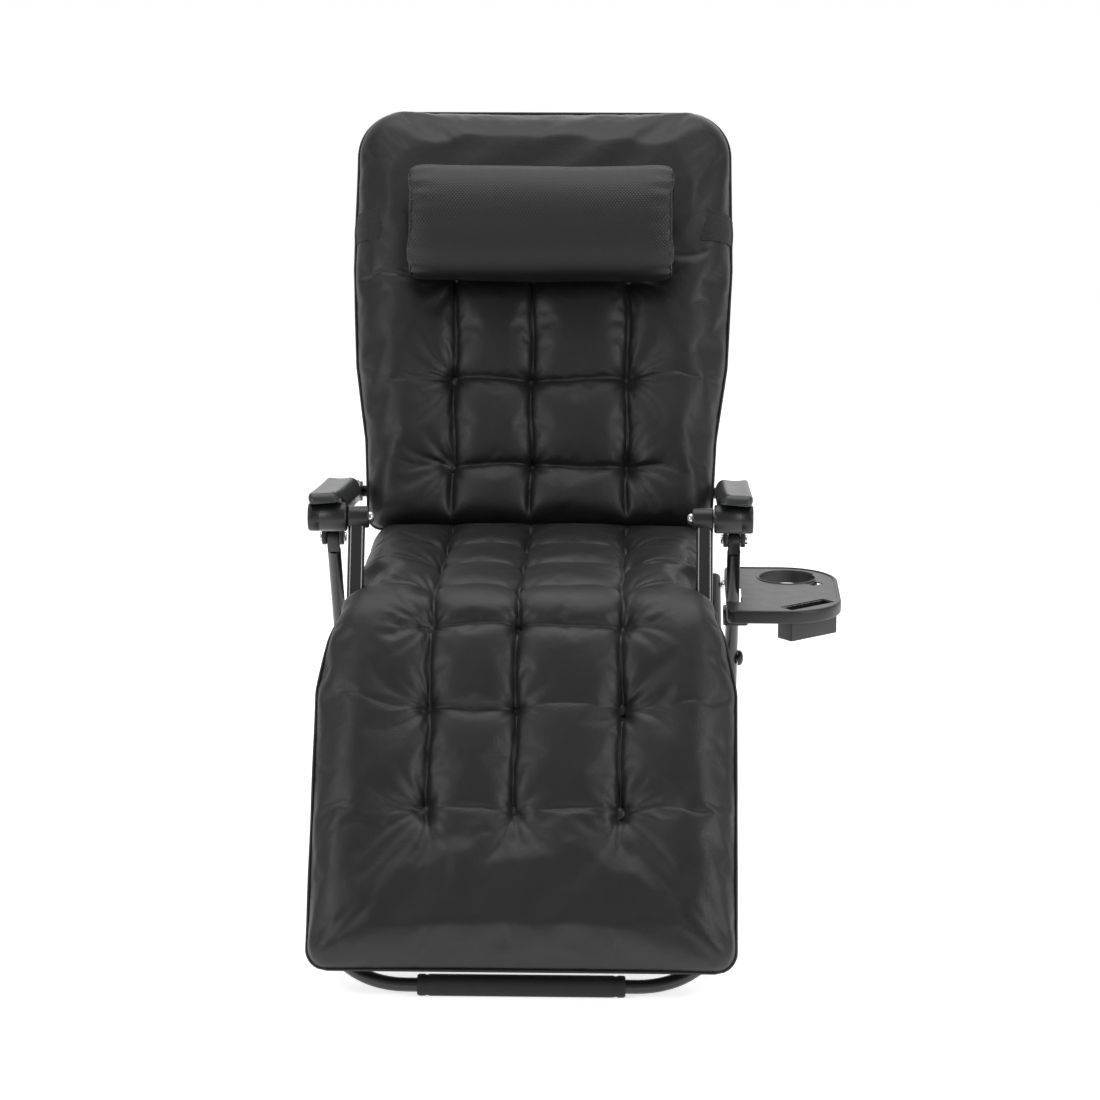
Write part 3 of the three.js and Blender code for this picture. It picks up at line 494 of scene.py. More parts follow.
def edge_round(distance, radius):
    """0 at a seam, rising along a quarter circle to 1."""
    t = np.clip(distance / radius, 0, 1)
    return np.sqrt(np.clip(1 - (1 - t) ** 2, 0, 1))


def groove(distance, width):
    return np.exp(-np.abs(distance) / width)


def band_of(s, low, high, fade):
    """1 between low and high, fading to 0 outside."""
    return 1 / (1 + np.exp(-(s - low) / fade)) / (1 + np.exp((s - high) / fade))


class Tufting:
    """Buttons on a grid of seams: columns at x, rows at distances along the cushion."""

    def __init__(self, rows, seam_from, seam_to, crossed_rows, drop_folds, seed):
        self.rows, self.crossed = rows, crossed_rows
        self.seam_from, self.seam_to = seam_from, seam_to
        rng = np.random.default_rng(seed)
        self.buttons = [(x + rng.uniform(-0.003, 0.003), s + rng.uniform(-0.002, 0.002))
                        for s in rows for x in TUFT_X]
        self.waves = [(rng.uniform(28, 75), rng.uniform(28, 75), rng.uniform(0, 6.28)) for _ in range(7)]
        self.pleats = []
        for number, (x, s) in enumerate(self.buttons):
            outer = abs(x) > 0.1
            last_row = drop_folds and number >= len(self.buttons) - len(TUFT_X)
            if outer:
                spread = np.linspace(-76, 76, 7) + rng.uniform(-8, 8, 7)
                for angle in spread:
                    turn = math.radians(angle if x > 0 else 180 - angle)
                    reach = rng.uniform(0.038, 0.082) * (1.1 - 0.35 * abs(angle) / 72)
                    self.pleats.append((x, s, turn, reach, rng.uniform(0.0070, 0.0110)))
            corners = (45, 135, 225, 315) if not outer else ((135, 225) if x > 0 else (45, 315))
            for angle in corners:
                turn = math.radians(angle + rng.uniform(-16, 16))
                self.pleats.append((x, s, turn, rng.uniform(0.018, 0.032), rng.uniform(0.0035, 0.0060)))
            if last_row:
                for angle in (66, 88, 112):
                    turn = math.radians(angle + rng.uniform(-7, 7))
                    self.pleats.append((x, s, turn, rng.uniform(0.055, 0.095), rng.uniform(0.0060, 0.0090)))

    def depth(self, x, s):
        """How far the cover is pulled in from the plain crowned form."""
        depth = np.zeros_like(x)
        inside = band_of(s, self.seam_from, self.seam_to, 0.006)
        for column in TUFT_X:
            off = x - column - 0.0018 * np.sin(s * 37 + column * 50)
            depth += (0.0125 * groove(off, 0.012) + 0.0065 * groove(off, 0.0030)) * inside
        left_half = band_of(x, TUFT_X[0], TUFT_X[1], 0.005)
        right_half = band_of(x, TUFT_X[1], TUFT_X[2], 0.005)
        for row, (share_left, share_right) in zip(self.rows, self.crossed):
            between = left_half * share_left + right_half * share_right
            off = s - row - 0.003 * np.sin(x * 26 + row * 31)
            depth += (0.0125 * groove(off, 0.013) + 0.0038 * groove(off, 0.0036)) * between
        for bx, bs in self.buttons:
            r = np.hypot(x - bx, s - bs)
            depth += 0.0105 * np.exp(-r / 0.013)
        for bx, bs, turn, reach, deep in self.pleats:
            along = (x - bx) * math.cos(turn) + (s - bs) * math.sin(turn)
            off = -(x - bx) * math.sin(turn) + (s - bs) * math.cos(turn)
            off = off + 0.10 * along * np.sin(along * 40)
            ahead = np.clip(along, 0, None)
            fade = np.clip(ahead / 0.012, 0, 1) * np.exp(-(ahead / reach) ** 2.4)
            depth += deep * fade * groove(off, 0.0032 + 0.055 * ahead)
        for kx, ks, phase in self.waves:
            depth += 0.00030 * np.sin(kx * x + ks * s + phase)
        return depth


def spaced(length, marks, fine, coarse, reach):
    """Places from 0 to length, fine apart near the marks and coarse apart elsewhere."""
    places = np.linspace(0, length, 4000)
    gap = np.full_like(places, coarse)
    for mark in marks:
        near = np.clip((np.abs(places - mark) - reach) / (2 * reach), 0, 1)
        gap = np.minimum(gap, fine + (coarse - fine) * near)
    steps = np.concatenate([[0], np.cumsum(np.diff(places) / (0.5 * (gap[1:] + gap[:-1])))])
    count = int(round(steps[-1]))
    return np.interp(np.linspace(0, steps[-1], count + 1), steps, places)


def cushion(name, line, half_width, front, back, corners, edge, tufting):
    """Closed crowned form: a front and a back sheet that meet in the seam round the edge.
    half_width, front and back are functions of the distance along the line."""
    fixed = 0.190
    s_line = spaced(line.length, [0, line.length, *tufting.rows], 0.0030, 0.0066, 0.007)
    inner = spaced(2 * fixed, [x + fixed for x in TUFT_X], 0.0030, 0.0068, 0.007) - fixed
    outer = spaced(1.0, [1.0], 0.035, 0.060, 0.10)[1:]
    s, x_inner = np.meshgrid(s_line, inner, indexing="ij")
    corner = np.where(s < line.length / 2, corners[0], corners[1])
    from_end = np.minimum(s, line.length - s)
    short = np.clip(corner - from_end, 0, None)
    width = (half_width(s) - (corner - np.sqrt(np.clip(corner ** 2 - short ** 2, 0, None))))[:, :1]
    side = fixed + outer[None, :] * (width - fixed)
    x = np.concatenate([-side[:, ::-1], x_inner, side], axis=1)
    s = np.repeat(s[:, :1], x.shape[1], axis=1)
    rows, columns = x.shape
    corner, from_end, short = (np.repeat(a[:, :1], columns, axis=1) for a in (corner, from_end, short))
    into_corner = np.clip(np.abs(x) - (half_width(s) - corner), 0, None)
    in_corner = (short > 0) & (into_corner > 0)
    distance = np.minimum(half_width(s) - np.abs(x), from_end)
    distance = np.where(in_corner, corner - np.hypot(short, into_corner), distance)
    distance = np.clip(distance, 0, None)
    rise = edge_round(distance, edge)
    crown = 0.90 + 0.10 * np.cos(np.clip(x / 0.30, -1, 1) * math.pi / 2)
    y0, z0, ny, nz = line.at(s)
    pulled = tufting.depth(x, s) * np.clip(distance / 0.03, 0, 1)
    middle = -front(s)
    top = middle + front(s) * rise * crown + 0.006 * rise - pulled
    low = middle - back(s) * rise
    seam_wave = 0.0025 * np.sin(s * 41) * (1 - rise)

    def sheet(offset):
        return np.stack([x, y0 + ny * (offset + seam_wave), z0 + nz * (offset + seam_wave)], -1)

    top_sheet, low_sheet = sheet(top), sheet(low)
    index_top = np.arange(rows * columns).reshape(rows, columns)
    rim = np.zeros((rows, columns), bool)
    rim[0] = rim[-1] = True
    rim[:, 0] = rim[:, -1] = True
    index_low = np.where(rim, index_top, 0)
    index_low[~rim] = rows * columns + np.arange((~rim).sum())
    vertices = np.concatenate([top_sheet.reshape(-1, 3), low_sheet[~rim]])
    faces = []
    for i in range(rows - 1):
        for j in range(columns - 1):
            for index, flip in ((index_top, False), (index_low, True)):
                face = (index[i, j], index[i, j + 1], index[i + 1, j + 1], index[i + 1, j])
                faces.append(tuple(int(v) for v in (face[::-1] if flip else face)))
    piece = face_outwards(new_piece(name, vertices, faces, LEATHER))
    held = np.zeros(len(vertices))
    seams = np.clip(tufting.depth(x, s) / 0.017, 0, 1)
    held[:rows * columns] = np.where(rim, 1.0, seams ** 2).ravel()
    held[rows * columns:] = 0.7
    border = [*index_top[0], *index_top[1:, -1], *index_top[-1, -2::-1], *index_top[-2:0:-1, 0]]
    return piece, held, [int(v) for v in border]


def welt(name, piece, border):
    """Corded seam round the edge of a cushion, where its front and back covers meet."""
    line = [piece.data.vertices[i].co.copy() for i in border]
    line = [p for k, p in enumerate(line) if (p - line[k - 1]).length > 0.0012]
    cord = swept(name, line + [line[0], line[1]], ring(0.0024, 8), LEATHER)
    return cord


def stuff(piece, held, pressure, limit):
    """Inflates a cover by cloth simulation, held at its seams and buttons, and caps how far it swells."""
    start = np.array([v.co for v in piece.data.vertices])
    group = piece.vertex_groups.new(name="held")
    for i, weight in enumerate(held):
        group.add([i], float(weight), "REPLACE")
    cloth = piece.modifiers.new("stuffing", "CLOTH")
    settings = cloth.settings
    settings.quality = 5
    settings.mass = 0.4
    settings.tension_stiffness = 18
    settings.compression_stiffness = 12
    settings.shear_stiffness = 8
    settings.bending_stiffness = 0.6
    settings.shrink_min = -0.008
    settings.use_pressure = True
    settings.uniform_pressure_force = pressure
    settings.vertex_group_mass = "held"
    settings.pin_stiffness = 1.0
    settings.effector_weights.gravity = 0.0
    cloth.collision_settings.use_collision = False
    scene = bpy.context.scene
    for number in range(1, 16):
        scene.frame_set(number)
    apply_modifiers(piece)
    end = np.array([v.co for v in piece.data.vertices])
    scene.frame_set(1)
    move = end - start
    size = np.linalg.norm(move, axis=1, keepdims=True)
    move *= np.minimum(1, limit / np.maximum(size, 1e-9))
    piece.data.vertices.foreach_set("co", (start + move).ravel())
    piece.vertex_groups.clear()
    return piece


def smooth_surface(piece, levels=1):
    subdivision = piece.modifiers.new("smooth", "SUBSURF")
    subdivision.levels = subdivision.render_levels = levels
    apply_modifiers(piece)
    piece.data.polygons.foreach_set("use_smooth", [True] * len(piece.data.polygons))
    return piece


def bend_at_hip(piece):
    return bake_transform(piece)


def sew_buttons(name, piece, line, tufting, bends):
    """Covered buttons pressed into the bottoms of the tufts."""
    piece.data.update()
    for number, (x, s) in enumerate(tufting.buttons, 1):
        y, z, ny, nz = (float(v) for v in line.at(s))
        outward = Vector((0, ny, nz))
        hit, point, _, _ = piece.ray_cast(Vector((x, y, z)) + outward * 0.08, -outward)
        if not hit:
            continue
        dome = [(0.0, 0.0018), (0.0040, 0.0014), (0.0072, 0.0002), (0.0094, -0.0018), (BUTTON_R, -0.0042),
                (0.0090, -0.0065)]
        count = 24
        basis = outward.to_track_quat("Z", "Y").to_matrix()
        vertices = [point + basis @ Vector((0, 0, dome[0][1]))]
        for r, h in dome[1:]:
            vertices += [point + basis @ Vector((a, b, h)) for a, b in ring(r, count)]
        faces = [(0, 1 + i, 1 + (i + 1) % count) for i in range(count)]
        for k in range(len(dome) - 2):
            a, b = 1 + k * count, 1 + (k + 1) * count
            faces += [(a + i, b + i, b + (i + 1) % count, a + (i + 1) % count) for i in range(count)]
        faces.append(tuple(range(1 + (len(dome) - 2) * count, 1 + (len(dome) - 1) * count))[::-1])
        button = new_piece(f"{name}_button_{number}", vertices, faces, LEATHER)
        face_outwards(button)
        if bends:
            bend_at_hip(button)
        else:
            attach(button, name)


def make_seat_cushion():
    knee = (-0.1418, 0.514)
    foot = (-0.4355, 0.0600)
    line = FrontLine([(0.4165, 0.497), knee, foot], 0.105)
    knee_at = line.length - math.hypot(knee[0] - foot[0], knee[1] - foot[1]) + 0.006
    seat_rows = [knee_at - 0.395, knee_at - 0.245, knee_at - 0.085]
    leg_rows = [knee_at + 0.031, knee_at + 0.157, knee_at + 0.309]
    tufting = Tufting(seat_rows + leg_rows, 0.05, leg_rows[-1] + 0.004,
                     [(1, 1), (1, 1), (1, 1), (0.9, 0.9), (0.85, 0.20), (0.25, 0.10)], True, seed=4)

    def half_width(s):
        leg = 0.2705 + 0.028 * np.clip((s - knee_at) / 0.13, 0, 1) ** 0.8
        to_leg = np.clip((s - (knee_at - 0.085)) / 0.06, 0, 1)
        to_leg = to_leg * to_leg * (3 - 2 * to_leg)
        squeezed = np.clip((s - 0.315) / 0.055, 0, 1)
        squeezed = squeezed * squeezed * (3 - 2 * squeezed)
        beside = 0.2640 * (1 - squeezed) + 0.2385 * squeezed
        return beside * (1 - to_leg) + leg * to_leg

    stations = [0, 0.1, knee_at - 0.1, knee_at + 0.1, line.length]

    def front(s):
        return np.interp(s, stations, [0.050, 0.046, 0.032, 0.031, 0.030])

    def back(s):
        return np.interp(s, stations, [0.036, 0.036, 0.022, 0.024, 0.024])

    piece, held, border = cushion("seat_and_leg_cushion", line, half_width, front, back,
                                  (0.030, 0.030), 0.040, tufting)
    stuff(piece, held, 4.0, 0.010)
    bend_at_hip(welt("seat_and_leg_welt", piece, border))
    smooth_surface(piece)
    sew_buttons("seat", piece, line, tufting, False)
    bend_at_hip(piece)
    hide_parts("seat_cushion")


def make_back_cushion():
    low, high, forward = 0.074, 0.762, 0.097

    def at(s):
        local = BACK @ Vector((0, -forward, s))
        return (local.y, local.z)

    line = FrontLine([at(high), at(low)], 0)
    rows = [high - 0.478, high - 0.311, high - 0.171]
    tufting = Tufting(rows, rows[0], line.length - 0.015, [(1, 1), (1, 1), (1, 1)], False, seed=9)

    def half_width(s):
        up = high - s
        return np.interp(up, [0.0, 0.10, 0.22, 0.34, 0.50, 0.70], [0.266, 0.270, 0.276, 0.293, 0.3005, 0.298])

    def front(s):
        return np.full_like(np.asarray(s, float), 0.046)

    def back(s):
        return np.full_like(np.asarray(s, float), 0.034)

    piece, held, border = cushion("back_cushion_cover", line, half_width, front, back,
                                  (0.074, 0.022), 0.042, tufting)
    stuff(piece, held, 4.0, 0.010)
    bend_at_hip(welt("back_welt", piece, border))
    smooth_surface(piece)
    sew_buttons("back", piece, line, tufting, True)
    route = strap_route(piece)
    bend_at_hip(piece)
    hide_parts("back_cushion")
    return route


def strap_route(piece):
    """Where a tight band lies round the front and sides of the back cushion, as (x, y) across the back."""
    centre = Vector((0, -0.045, STRAP_AT))
    turn = BACK.to_3x3()
    piece.data.update()
    route = []
    for k in range(61):
        angle = math.radians(-180 * k / 60)
        outward = Vector((math.cos(angle), 0.42 * math.sin(angle), 0)).normalized()
        origin = centre + outward * 0.5
        hit, point, _, _ = piece.ray_cast(BACK @ origin, turn @ -outward)
        if hit:
            local = BACK.inverted() @ point
            route.append((max(-0.3010, min(0.3010, local.x)), max(-0.1015, local.y)))
    return route


# ---------------------------------------------------------------- head pillow and strap
def pillow_section(angle, scale):
    """Rounded box section of the roll as (forward, up), with its two shoulders to the front."""
    c, s = math.cos(angle), math.sin(angle)
    forward = 0.053 * math.copysign(abs(c) ** 0.72, c)
    up = 0.091 * math.copysign(abs(s) ** 0.84, s)
    return forward * scale, up * (0.35 + 0.65 * scale)


def make_pillow():
    """Roll of woven mesh with sewn end panels, gathered at their seams, and small dog-eared corners."""
    half, around = 0.2035, 112
    offsets = [-0.004, 0.0, 0.0, 0.0012, 0.004, 0.008, 0.013, 0.020, 0.030]
    sizes = [0.05, 0.55, 0.86, 0.91, 0.935, 0.955, 0.975, 0.99, 1.0]
    stations = [(-half + o, k) for o, k in zip(offsets, sizes)]
    stations[0] = (-half + 0.006, 0.02)
    stations[1] = (-half + 0.004, 0.55)
    stations += [(-half + 0.040 + (2 * half - 0.080) * i / 60, 1.0) for i in range(61)]
    stations += [(-x, k) for x, k in reversed(stations[:9])]
    centre = STRAP_FRONT + 0.003 + 0.0535
    vertices, uv = [], []
    for x, size in stations:
        to_end = half - abs(x)
        for j in range(around):
            angle = math.pi + 2 * math.pi * j / around
            near = math.exp(-(to_end / 0.024) ** 2)
            gather = 1 + 0.026 * math.cos(angle * 19 + 1.5 * math.sin(3 * angle)) * near * min(1, size * 1.1)
            lump = 1 + 0.010 * math.sin(angle * 3 + x * 9) + 0.008 * math.sin(x * 27 + angle * 2)
            forward, up = pillow_section(angle, size * lump * gather)
            at_corner = abs(math.sin(2 * angle)) ** 3 if size > 0.8 else 0
            ear = 0.005 * math.exp(-(to_end / 0.006) ** 2) * at_corner
            droop = -0.0025 * math.cos(x / half * math.pi / 2)
            place = Vector((x + math.copysign(ear, x), -centre - forward, PILLOW_AT + up + droop))
            vertices.append(BACK @ place)
            uv.append((x, j / around * 0.46))
    faces = tube_faces(len(stations), around)
    pillow = face_outwards(new_piece("head_pillow_cover", vertices, faces, PILLOW_WEAVE, uv=uv))
    finish_piece(pillow, "pillow", "head_pillow")
    for name, side in SIDES:
        line = []
        for j in range(97):
            forward, up = pillow_section(2 * math.pi * j / 96, 0.885)
            line.append(BACK @ Vector((side * (half - 0.0002), -centre - forward, PILLOW_AT + up)))
        piping = swept(f"pillow_seam_{name}", line, ring(0.0022, 8), PILLOW_WEAVE)
        layer = piping.data.uv_layers.new(name="metres")
        for loop in piping.data.loops:
            place = piping.data.vertices[loop.vertex_index].co
            layer.data[loop.index].uv = (place.y + place.z, place.x)
        finish_piece(piping, "pillow")


def make_strap(route):
    """Elastic band from one end of the pillow round the back of the chair to the other."""
    thick = 0.0016
    front = [(x, y) for x, y in route if abs(x) < 0.3012]
    left = [(x, y) for x, y in front if x > 0.18]
    right = [(x, y) for x, y in front if x < -0.18]
    line = [Vector((x, y, 0)) for x, y in reversed(left)]
    rear = [(0.3012, -0.044, 0), (0.2960, -0.030, 0), (0.2400, 0.0160, 0)]
    around_rear = rounded_line(rear + [(-x, y, z) for x, y, z in reversed(rear)], 0.010, 8)
    line += around_rear
    line += [Vector((x, y, 0)) for x, y in reversed(right)]
    smooth = [line[0]]
    for point in line[1:]:
        gap = (point - smooth[-1]).length
        if gap > 0.0025:
            parts = max(1, int(gap / 0.007))
            smooth += [smooth[-1].lerp(point, k / parts) for k in range(1, parts + 1)]
    rows = 15
    vertices, uv, faces = [], [], []
    run = 0.0
    for i, point in enumerate(smooth):
        before, after = smooth[max(i - 1, 0)], smooth[min(i + 1, len(smooth) - 1)]
        tangent = (after - before).normalized()
        outward = Vector((tangent.y, -tangent.x, 0))
        run += (point - smooth[i - 1]).length if i else 0
        on_front = point.y < -0.045
        to_pillow = max(0.0, 1 - max(0.0, abs(point.x) - 0.200) / 0.10) if on_front else 0.0
        wide = 0.046 + 0.020 * to_pillow if on_front else 0.046
        for layer in (0, 1):
            for j in range(rows):
                v = j / (rows - 1) - 0.5
                ripple = 0.0010 * to_pillow * math.sin(v * 30 + 1)
                offset = outward * (thick * (layer + 0.15) + ripple + 0.0005 * math.cos(v * 2 * math.pi))
                up = STRAP_AT + v * wide + 0.003 * to_pillow
                vertices.append(BACK @ (point + offset + Vector((0, 0, up))))
                uv.append((run, v * wide))
    count = 2 * rows
    loop = list(range(rows)) + list(range(2 * rows - 1, rows - 1, -1))
    for i in range(len(smooth) - 1):
        for a, b in zip(loop, loop[1:] + loop[:1]):
            faces.append((i * count + a, i * count + b, (i + 1) * count + b, (i + 1) * count + a))
    faces.append(tuple(loop)[::-1])
    faces.append(tuple((len(smooth) - 1) * count + a for a in loop))
    strap = face_outwards(new_piece("pillow_strap_band", vertices, faces, WEBBING, uv=uv))
    shade_by_angle(strap, 50)
    finish_piece(strap, "pillow", "pillow_strap")


# ---------------------------------------------------------------- frames
def leg_tube(name, half_width, top, bar, extra):
    direction = (Vector(top) - Vector(bar)).normalized()
    end = Vector(top) + direction * extra
    points = [(-half_width, *end), (-half_width, *bar), (half_width, *bar), (half_width, *end)]
    return swept(f"{name}_tube", rounded_line(points, 0.115, 16), ring(LEG_TUBE_R), LEG_PAINT)


def foot_sleeve(name, bar, length):
    """Ribbed rubber sleeve with a flat sole."""
    count, radius, sole = 44, 0.0154, 0.014
    profile = [(-length / 2, 0.90), (-length / 2 + 0.003, 1.0)]
    profile += [(-length / 2 + 0.010, 1.0), (-length / 2 + 0.012, 0.94), (-length / 2 + 0.015, 0.94),
                (-length / 2 + 0.017, 1.0)]
    profile += [(-x, k) for x, k in reversed(profile)]
    vertices = []
    for x, k in profile:
        for i in range(count):
            angle = 2 * math.pi * i / count
            vertices.append((x, bar[0] + radius * k * math.cos(angle),
                             bar[1] + max(-sole, radius * k * math.sin(angle))))
    faces = tube_faces(len(profile), count)
    piece = face_outwards(new_piece(f"{name}_cover", vertices, faces, RUBBER))
    shade_by_angle(piece, 40)
    finish_piece(piece, "base", name)


def make_legs():
    finish_piece(leg_tube("front_leg", FRONT_LEG_X, HIP, FRONT_BAR, 0.016), "base", "front_leg_frame")
    finish_piece(leg_tube("rear_leg", REAR_LEG_X, LEG_TOP, REAR_BAR, -0.026), "base", "rear_leg_frame")
    foot_sleeve("front_foot_sleeve", FRONT_BAR, 0.290)
    foot_sleeve("rear_foot_sleeve", REAR_BAR, 0.240)
    for name, side in SIDES:
        profile = [(0.2580, 0.0066), (0.2588, 0.0078), (0.2650, 0.0080), (0.2657, 0.0050), (0.3103, 0.0050),
                   (0.3103, 0.0120), (0.3128, 0.0120), (0.3150, 0.0112), (0.3172, 0.0088), (0.3185, 0.0050),
                   (0.3190, 0.0004)]
        cap = turned(f"cross_pivot_cap_{name}", [(side * x, r) for x, r in profile], CROSS, NYLON)
        finish_piece(cap, "base", f"cross_bolt_{name}")
        washer = turned(f"cross_washer_{name}", [(side * x, r) for x, r in (
            (0.2864, 0.0126), (0.2870, 0.0130), (0.2892, 0.0130), (0.2896, 0.0126))], CROSS, NYLON)
        finish_piece(washer, "base", f"cross_spacer_{name}")
        make_leg_top(name, side)


def make_leg_top(name, side):
    lean = math.atan2(REAR_BAR[0] - LEG_TOP[0], LEG_TOP[1] - REAR_BAR[1])
    local = side_frame(LEG_TOP, lean)
    outline = arc(0.009, 0, 181, 15)
    outline += [(-0.009, -0.0238), (0.009, -0.0238)]
    low, high = sorted((side * 0.291, side * 0.309))
    plug = plate(f"leg_end_plug_{name}", outline, low, high, NYLON, 0.0012, local)
    finish_piece(plug, "base", f"leg_top_plug_{name}")
    bolt = [(-0.0203, 0.0045), (-0.0200, 0.0066), (-0.0188, 0.0072), (-0.0166, 0.0072), (-0.0166, 0.0040),
            (0.0166, 0.0040), (0.0166, 0.0072), (0.0188, 0.0072), (0.0200, 0.0066), (0.0203, 0.0045)]
    piece = turned(f"slide_bolt_{name}_plated", [(side * REAR_LEG_X + x, r) for x, r in bolt],
                   LEG_TOP, NICKEL)
    finish_piece(piece, "base", f"slide_bolt_{name}")


def make_rails():
    """Bent tubes of the seat and back frames, along the CAD rails."""
    cos_s, sin_s = math.cos(ARM_SLOPE), math.sin(ARM_SLOPE)
    cos_l, sin_l = math.cos(LEG_SLOPE), math.sin(LEG_SLOPE)
    drop = 0.028
    rear = (HIP[0] + 0.012 * cos_s - drop * sin_s, HIP[1] - 0.012 * sin_s - drop * cos_s)
    depth = 0.058 + RAIL_R + 0.004
    foot = (-0.434 + 0.078 * cos_l + depth * sin_l, 0.064 + 0.078 * sin_l - depth * cos_l)
    a = np.array([[-cos_s, cos_l], [sin_s, sin_l]])
    t = np.linalg.solve(a, np.array(foot) - np.array(rear))
    knee = (rear[0] - cos_s * t[0], rear[1] + sin_s * t[0])
    points = [(-RAIL_X, *place) for place in (rear, knee, foot)]
    points += [(RAIL_X, *place) for place in (foot, knee, rear)]
    tube = swept("seat_rail_tube", rounded_line(points, 0.070, 14), ring(RAIL_R), RAIL_PAINT)
    finish_piece(tube, "seat", "seat_frame")

    local = [(-RAIL_X, 0, -0.009), (-RAIL_X, 0, 0.705), (RAIL_X, 0, 0.705), (RAIL_X, 0, -0.009)]
    line = [BACK @ p for p in rounded_line(local, 0.080, 14)]
    finish_piece(swept("back_rail_tube", line, ring(RAIL_R), RAIL_PAINT), "back", "back_frame")
    return rear, knee, foot


def sling(name, line, half_width, sag, node, body):
    """Mesh sheet with doubled hems, pulled in a little between its laces."""
    columns = 60
    count = len(line)
    run = np.concatenate([[0], np.cumsum([math.dist(a, b) for a, b in zip(line, line[1:])])])
    vertices, uv = [], []
    for layer in (0, 1):
        for i, (y, z) in enumerate(line):
            before, after = line[max(i - 1, 0)], line[min(i + 1, count - 1)]
            ty, tz = after[0] - before[0], after[1] - before[1]
            size = math.hypot(ty, tz)
            ny, nz = tz / size, -ty / size
            end = min(run[i], run[-1] - run[i])
            for j in range(columns + 1):
                u = j / columns * 2 - 1
                scallop = 0.003 * abs(math.sin(run[i] / 0.044 * math.pi))
                x = u * (half_width - scallop * abs(u) ** 8)
                dip = sag * (1 - u * u) * min(1, end / 0.12)
                hem = 0.0006 if abs(u) > 0.90 else 0.0
                off = -dip + (0.0009 + hem) * (1 if layer else -1)
                vertices.append((x, y + ny * off, z + nz * off))
                uv.append((x, run[i]))
    wide = columns + 1
    top = count * wide
    faces = []
    for i in range(count - 1):
        for j in range(columns):
            a, b, c, d = i * wide + j, i * wide + j + 1, (i + 1) * wide + j + 1, (i + 1) * wide + j
            faces.append((a, b, c, d))
            faces.append((top + d, top + c, top + b, top + a))
    rim = [j for j in range(wide)] + [i * wide + columns for i in range(1, count)]
    rim += [(count - 1) * wide + j for j in range(columns - 1, -1, -1)]
    rim += [i * wide for i in range(count - 2, 0, -1)]
    for a, b in zip(rim, rim[1:] + rim[:1]):
        faces.append((a, b, top + b, top + a))
    piece = face_outwards(new_piece(f"{name}_mesh", vertices, faces, SLING_WEAVE, uv=uv))
    finish_piece(piece, body, node)


def lacing(name, side, start, direction, normal, length, body):
    """Round elastic cord zigzagging between grommets in the hem and the rail, wrapping the rail."""
    pitch = 0.022
    count = int(round(length / pitch))
    line = []
    lift = RAIL_R + 0.0026
    for i in range(count + 1):
        s = i / count * length
        base = Vector((0, *start)) + Vector((0, *direction)) * s
        if i % 2 == 0:
            line.append(base + Vector((side * 0.193, 0, 0)) + Vector((0, *normal)) * 0.0045)
            line.append(base + Vector((side * 0.199, 0, 0)) + Vector((0, *normal)) * 0.0050)
        else:
            for angle in (-150, -115, -75, -35, 0):
                a = math.radians(angle)
                across = RAIL_X + lift * math.cos(a)
                line.append(base + Vector((side * across, 0, 0)) + Vector((0, *normal)) * lift * math.sin(a))
    piece = swept(f"{name}_cord", line, ring(0.0022, 8), LACE)
    finish_piece(piece, body, name)
    grommets = []
    for i in range(0, count + 1, 2):
        base = Vector((side * 0.193, *start)) + Vector((0, *direction)) * (i / count * length)
        grommets.append(base + Vector((0, *normal)) * 0.0022)
    vertices, faces = [], []
    up = Vector((0, *normal))
    along = Vector((0, *direction))
    across = Vector((1, 0, 0))
    for centre in grommets:
        first = len(vertices)
        for r, h in ((0.0030, 0.0), (0.0034, 0.0012), (0.0050, 0.0012), (0.0058, 0.0)):
            vertices += [centre + (across * a + along * b) * r + up * h for a, b in ring(1, 16)]
        for ring_no in range(4):
            a, b = first + ring_no * 16, first + ((ring_no + 1) % 4) * 16
            faces += [(a + k, a + (k + 1) % 16, b + (k + 1) % 16, b + k) for k in range(16)]
    eyelets = face_outwards(new_piece(f"{name}_eyelets", vertices, faces, NICKEL))
    finish_piece(eyelets, body)


def make_slings(rear, knee, foot):
    seat_dir = Vector((knee[0] - rear[0], knee[1] - rear[1])).normalized()
    leg_dir = Vector((foot[0] - knee[0], foot[1] - knee[1])).normalized()
    start = Vector(rear) + seat_dir * 0.050
    end = Vector(foot) - leg_dir * 0.055
    line = rounded_line([(0, *start), (0, *knee), (0, *end)], 0.075, 12)
    dense = []
    for a, b in zip(line, line[1:]):
        count = max(1, int((b - a).length / 0.011))
        dense += [a.lerp(b, k / count) for k in range(count)]
    dense.append(line[-1])
    sling("seat_sling", [(p.y, p.z) for p in dense], 0.204, 0.010, "seat_sling", "seat")
    low, high = 0.062, 0.640
    back_line = [BACK @ Vector((0, -0.0025, high + (low - high) * k / 52)) for k in range(53)]
    sling("back_sling", [(p.y, p.z) for p in back_line], 0.204, -0.004, "back_sling", "back")

    under_seat = (-math.sin(ARM_SLOPE), -math.cos(ARM_SLOPE))
    behind_leg = (math.sin(LEG_SLOPE), -math.cos(LEG_SLOPE))
    behind_back = (math.cos(BACK_LEAN), -math.sin(BACK_LEAN))
    seat_from = Vector(rear) + seat_dir * 0.055
    leg_from = Vector(knee) + leg_dir * 0.095
    leg_run = math.dist(foot, knee) - 0.155
    back_from = BACK @ Vector((0, 0, 0.610))
    down_back = (-math.sin(BACK_LEAN), -math.cos(BACK_LEAN))
    for name, side in SIDES:
        for part, start_at, way, out, run, body in (
                ("seat", seat_from, seat_dir, under_seat, 0.300, "seat"),
                ("leg", leg_from, leg_dir, behind_leg, leg_run, "seat"),
                ("back", (back_from.y, back_from.z), down_back, behind_back, 0.520, "back")):
            lacing(f"{part}_lacing_{name}", side, start_at, way, out, run, body)


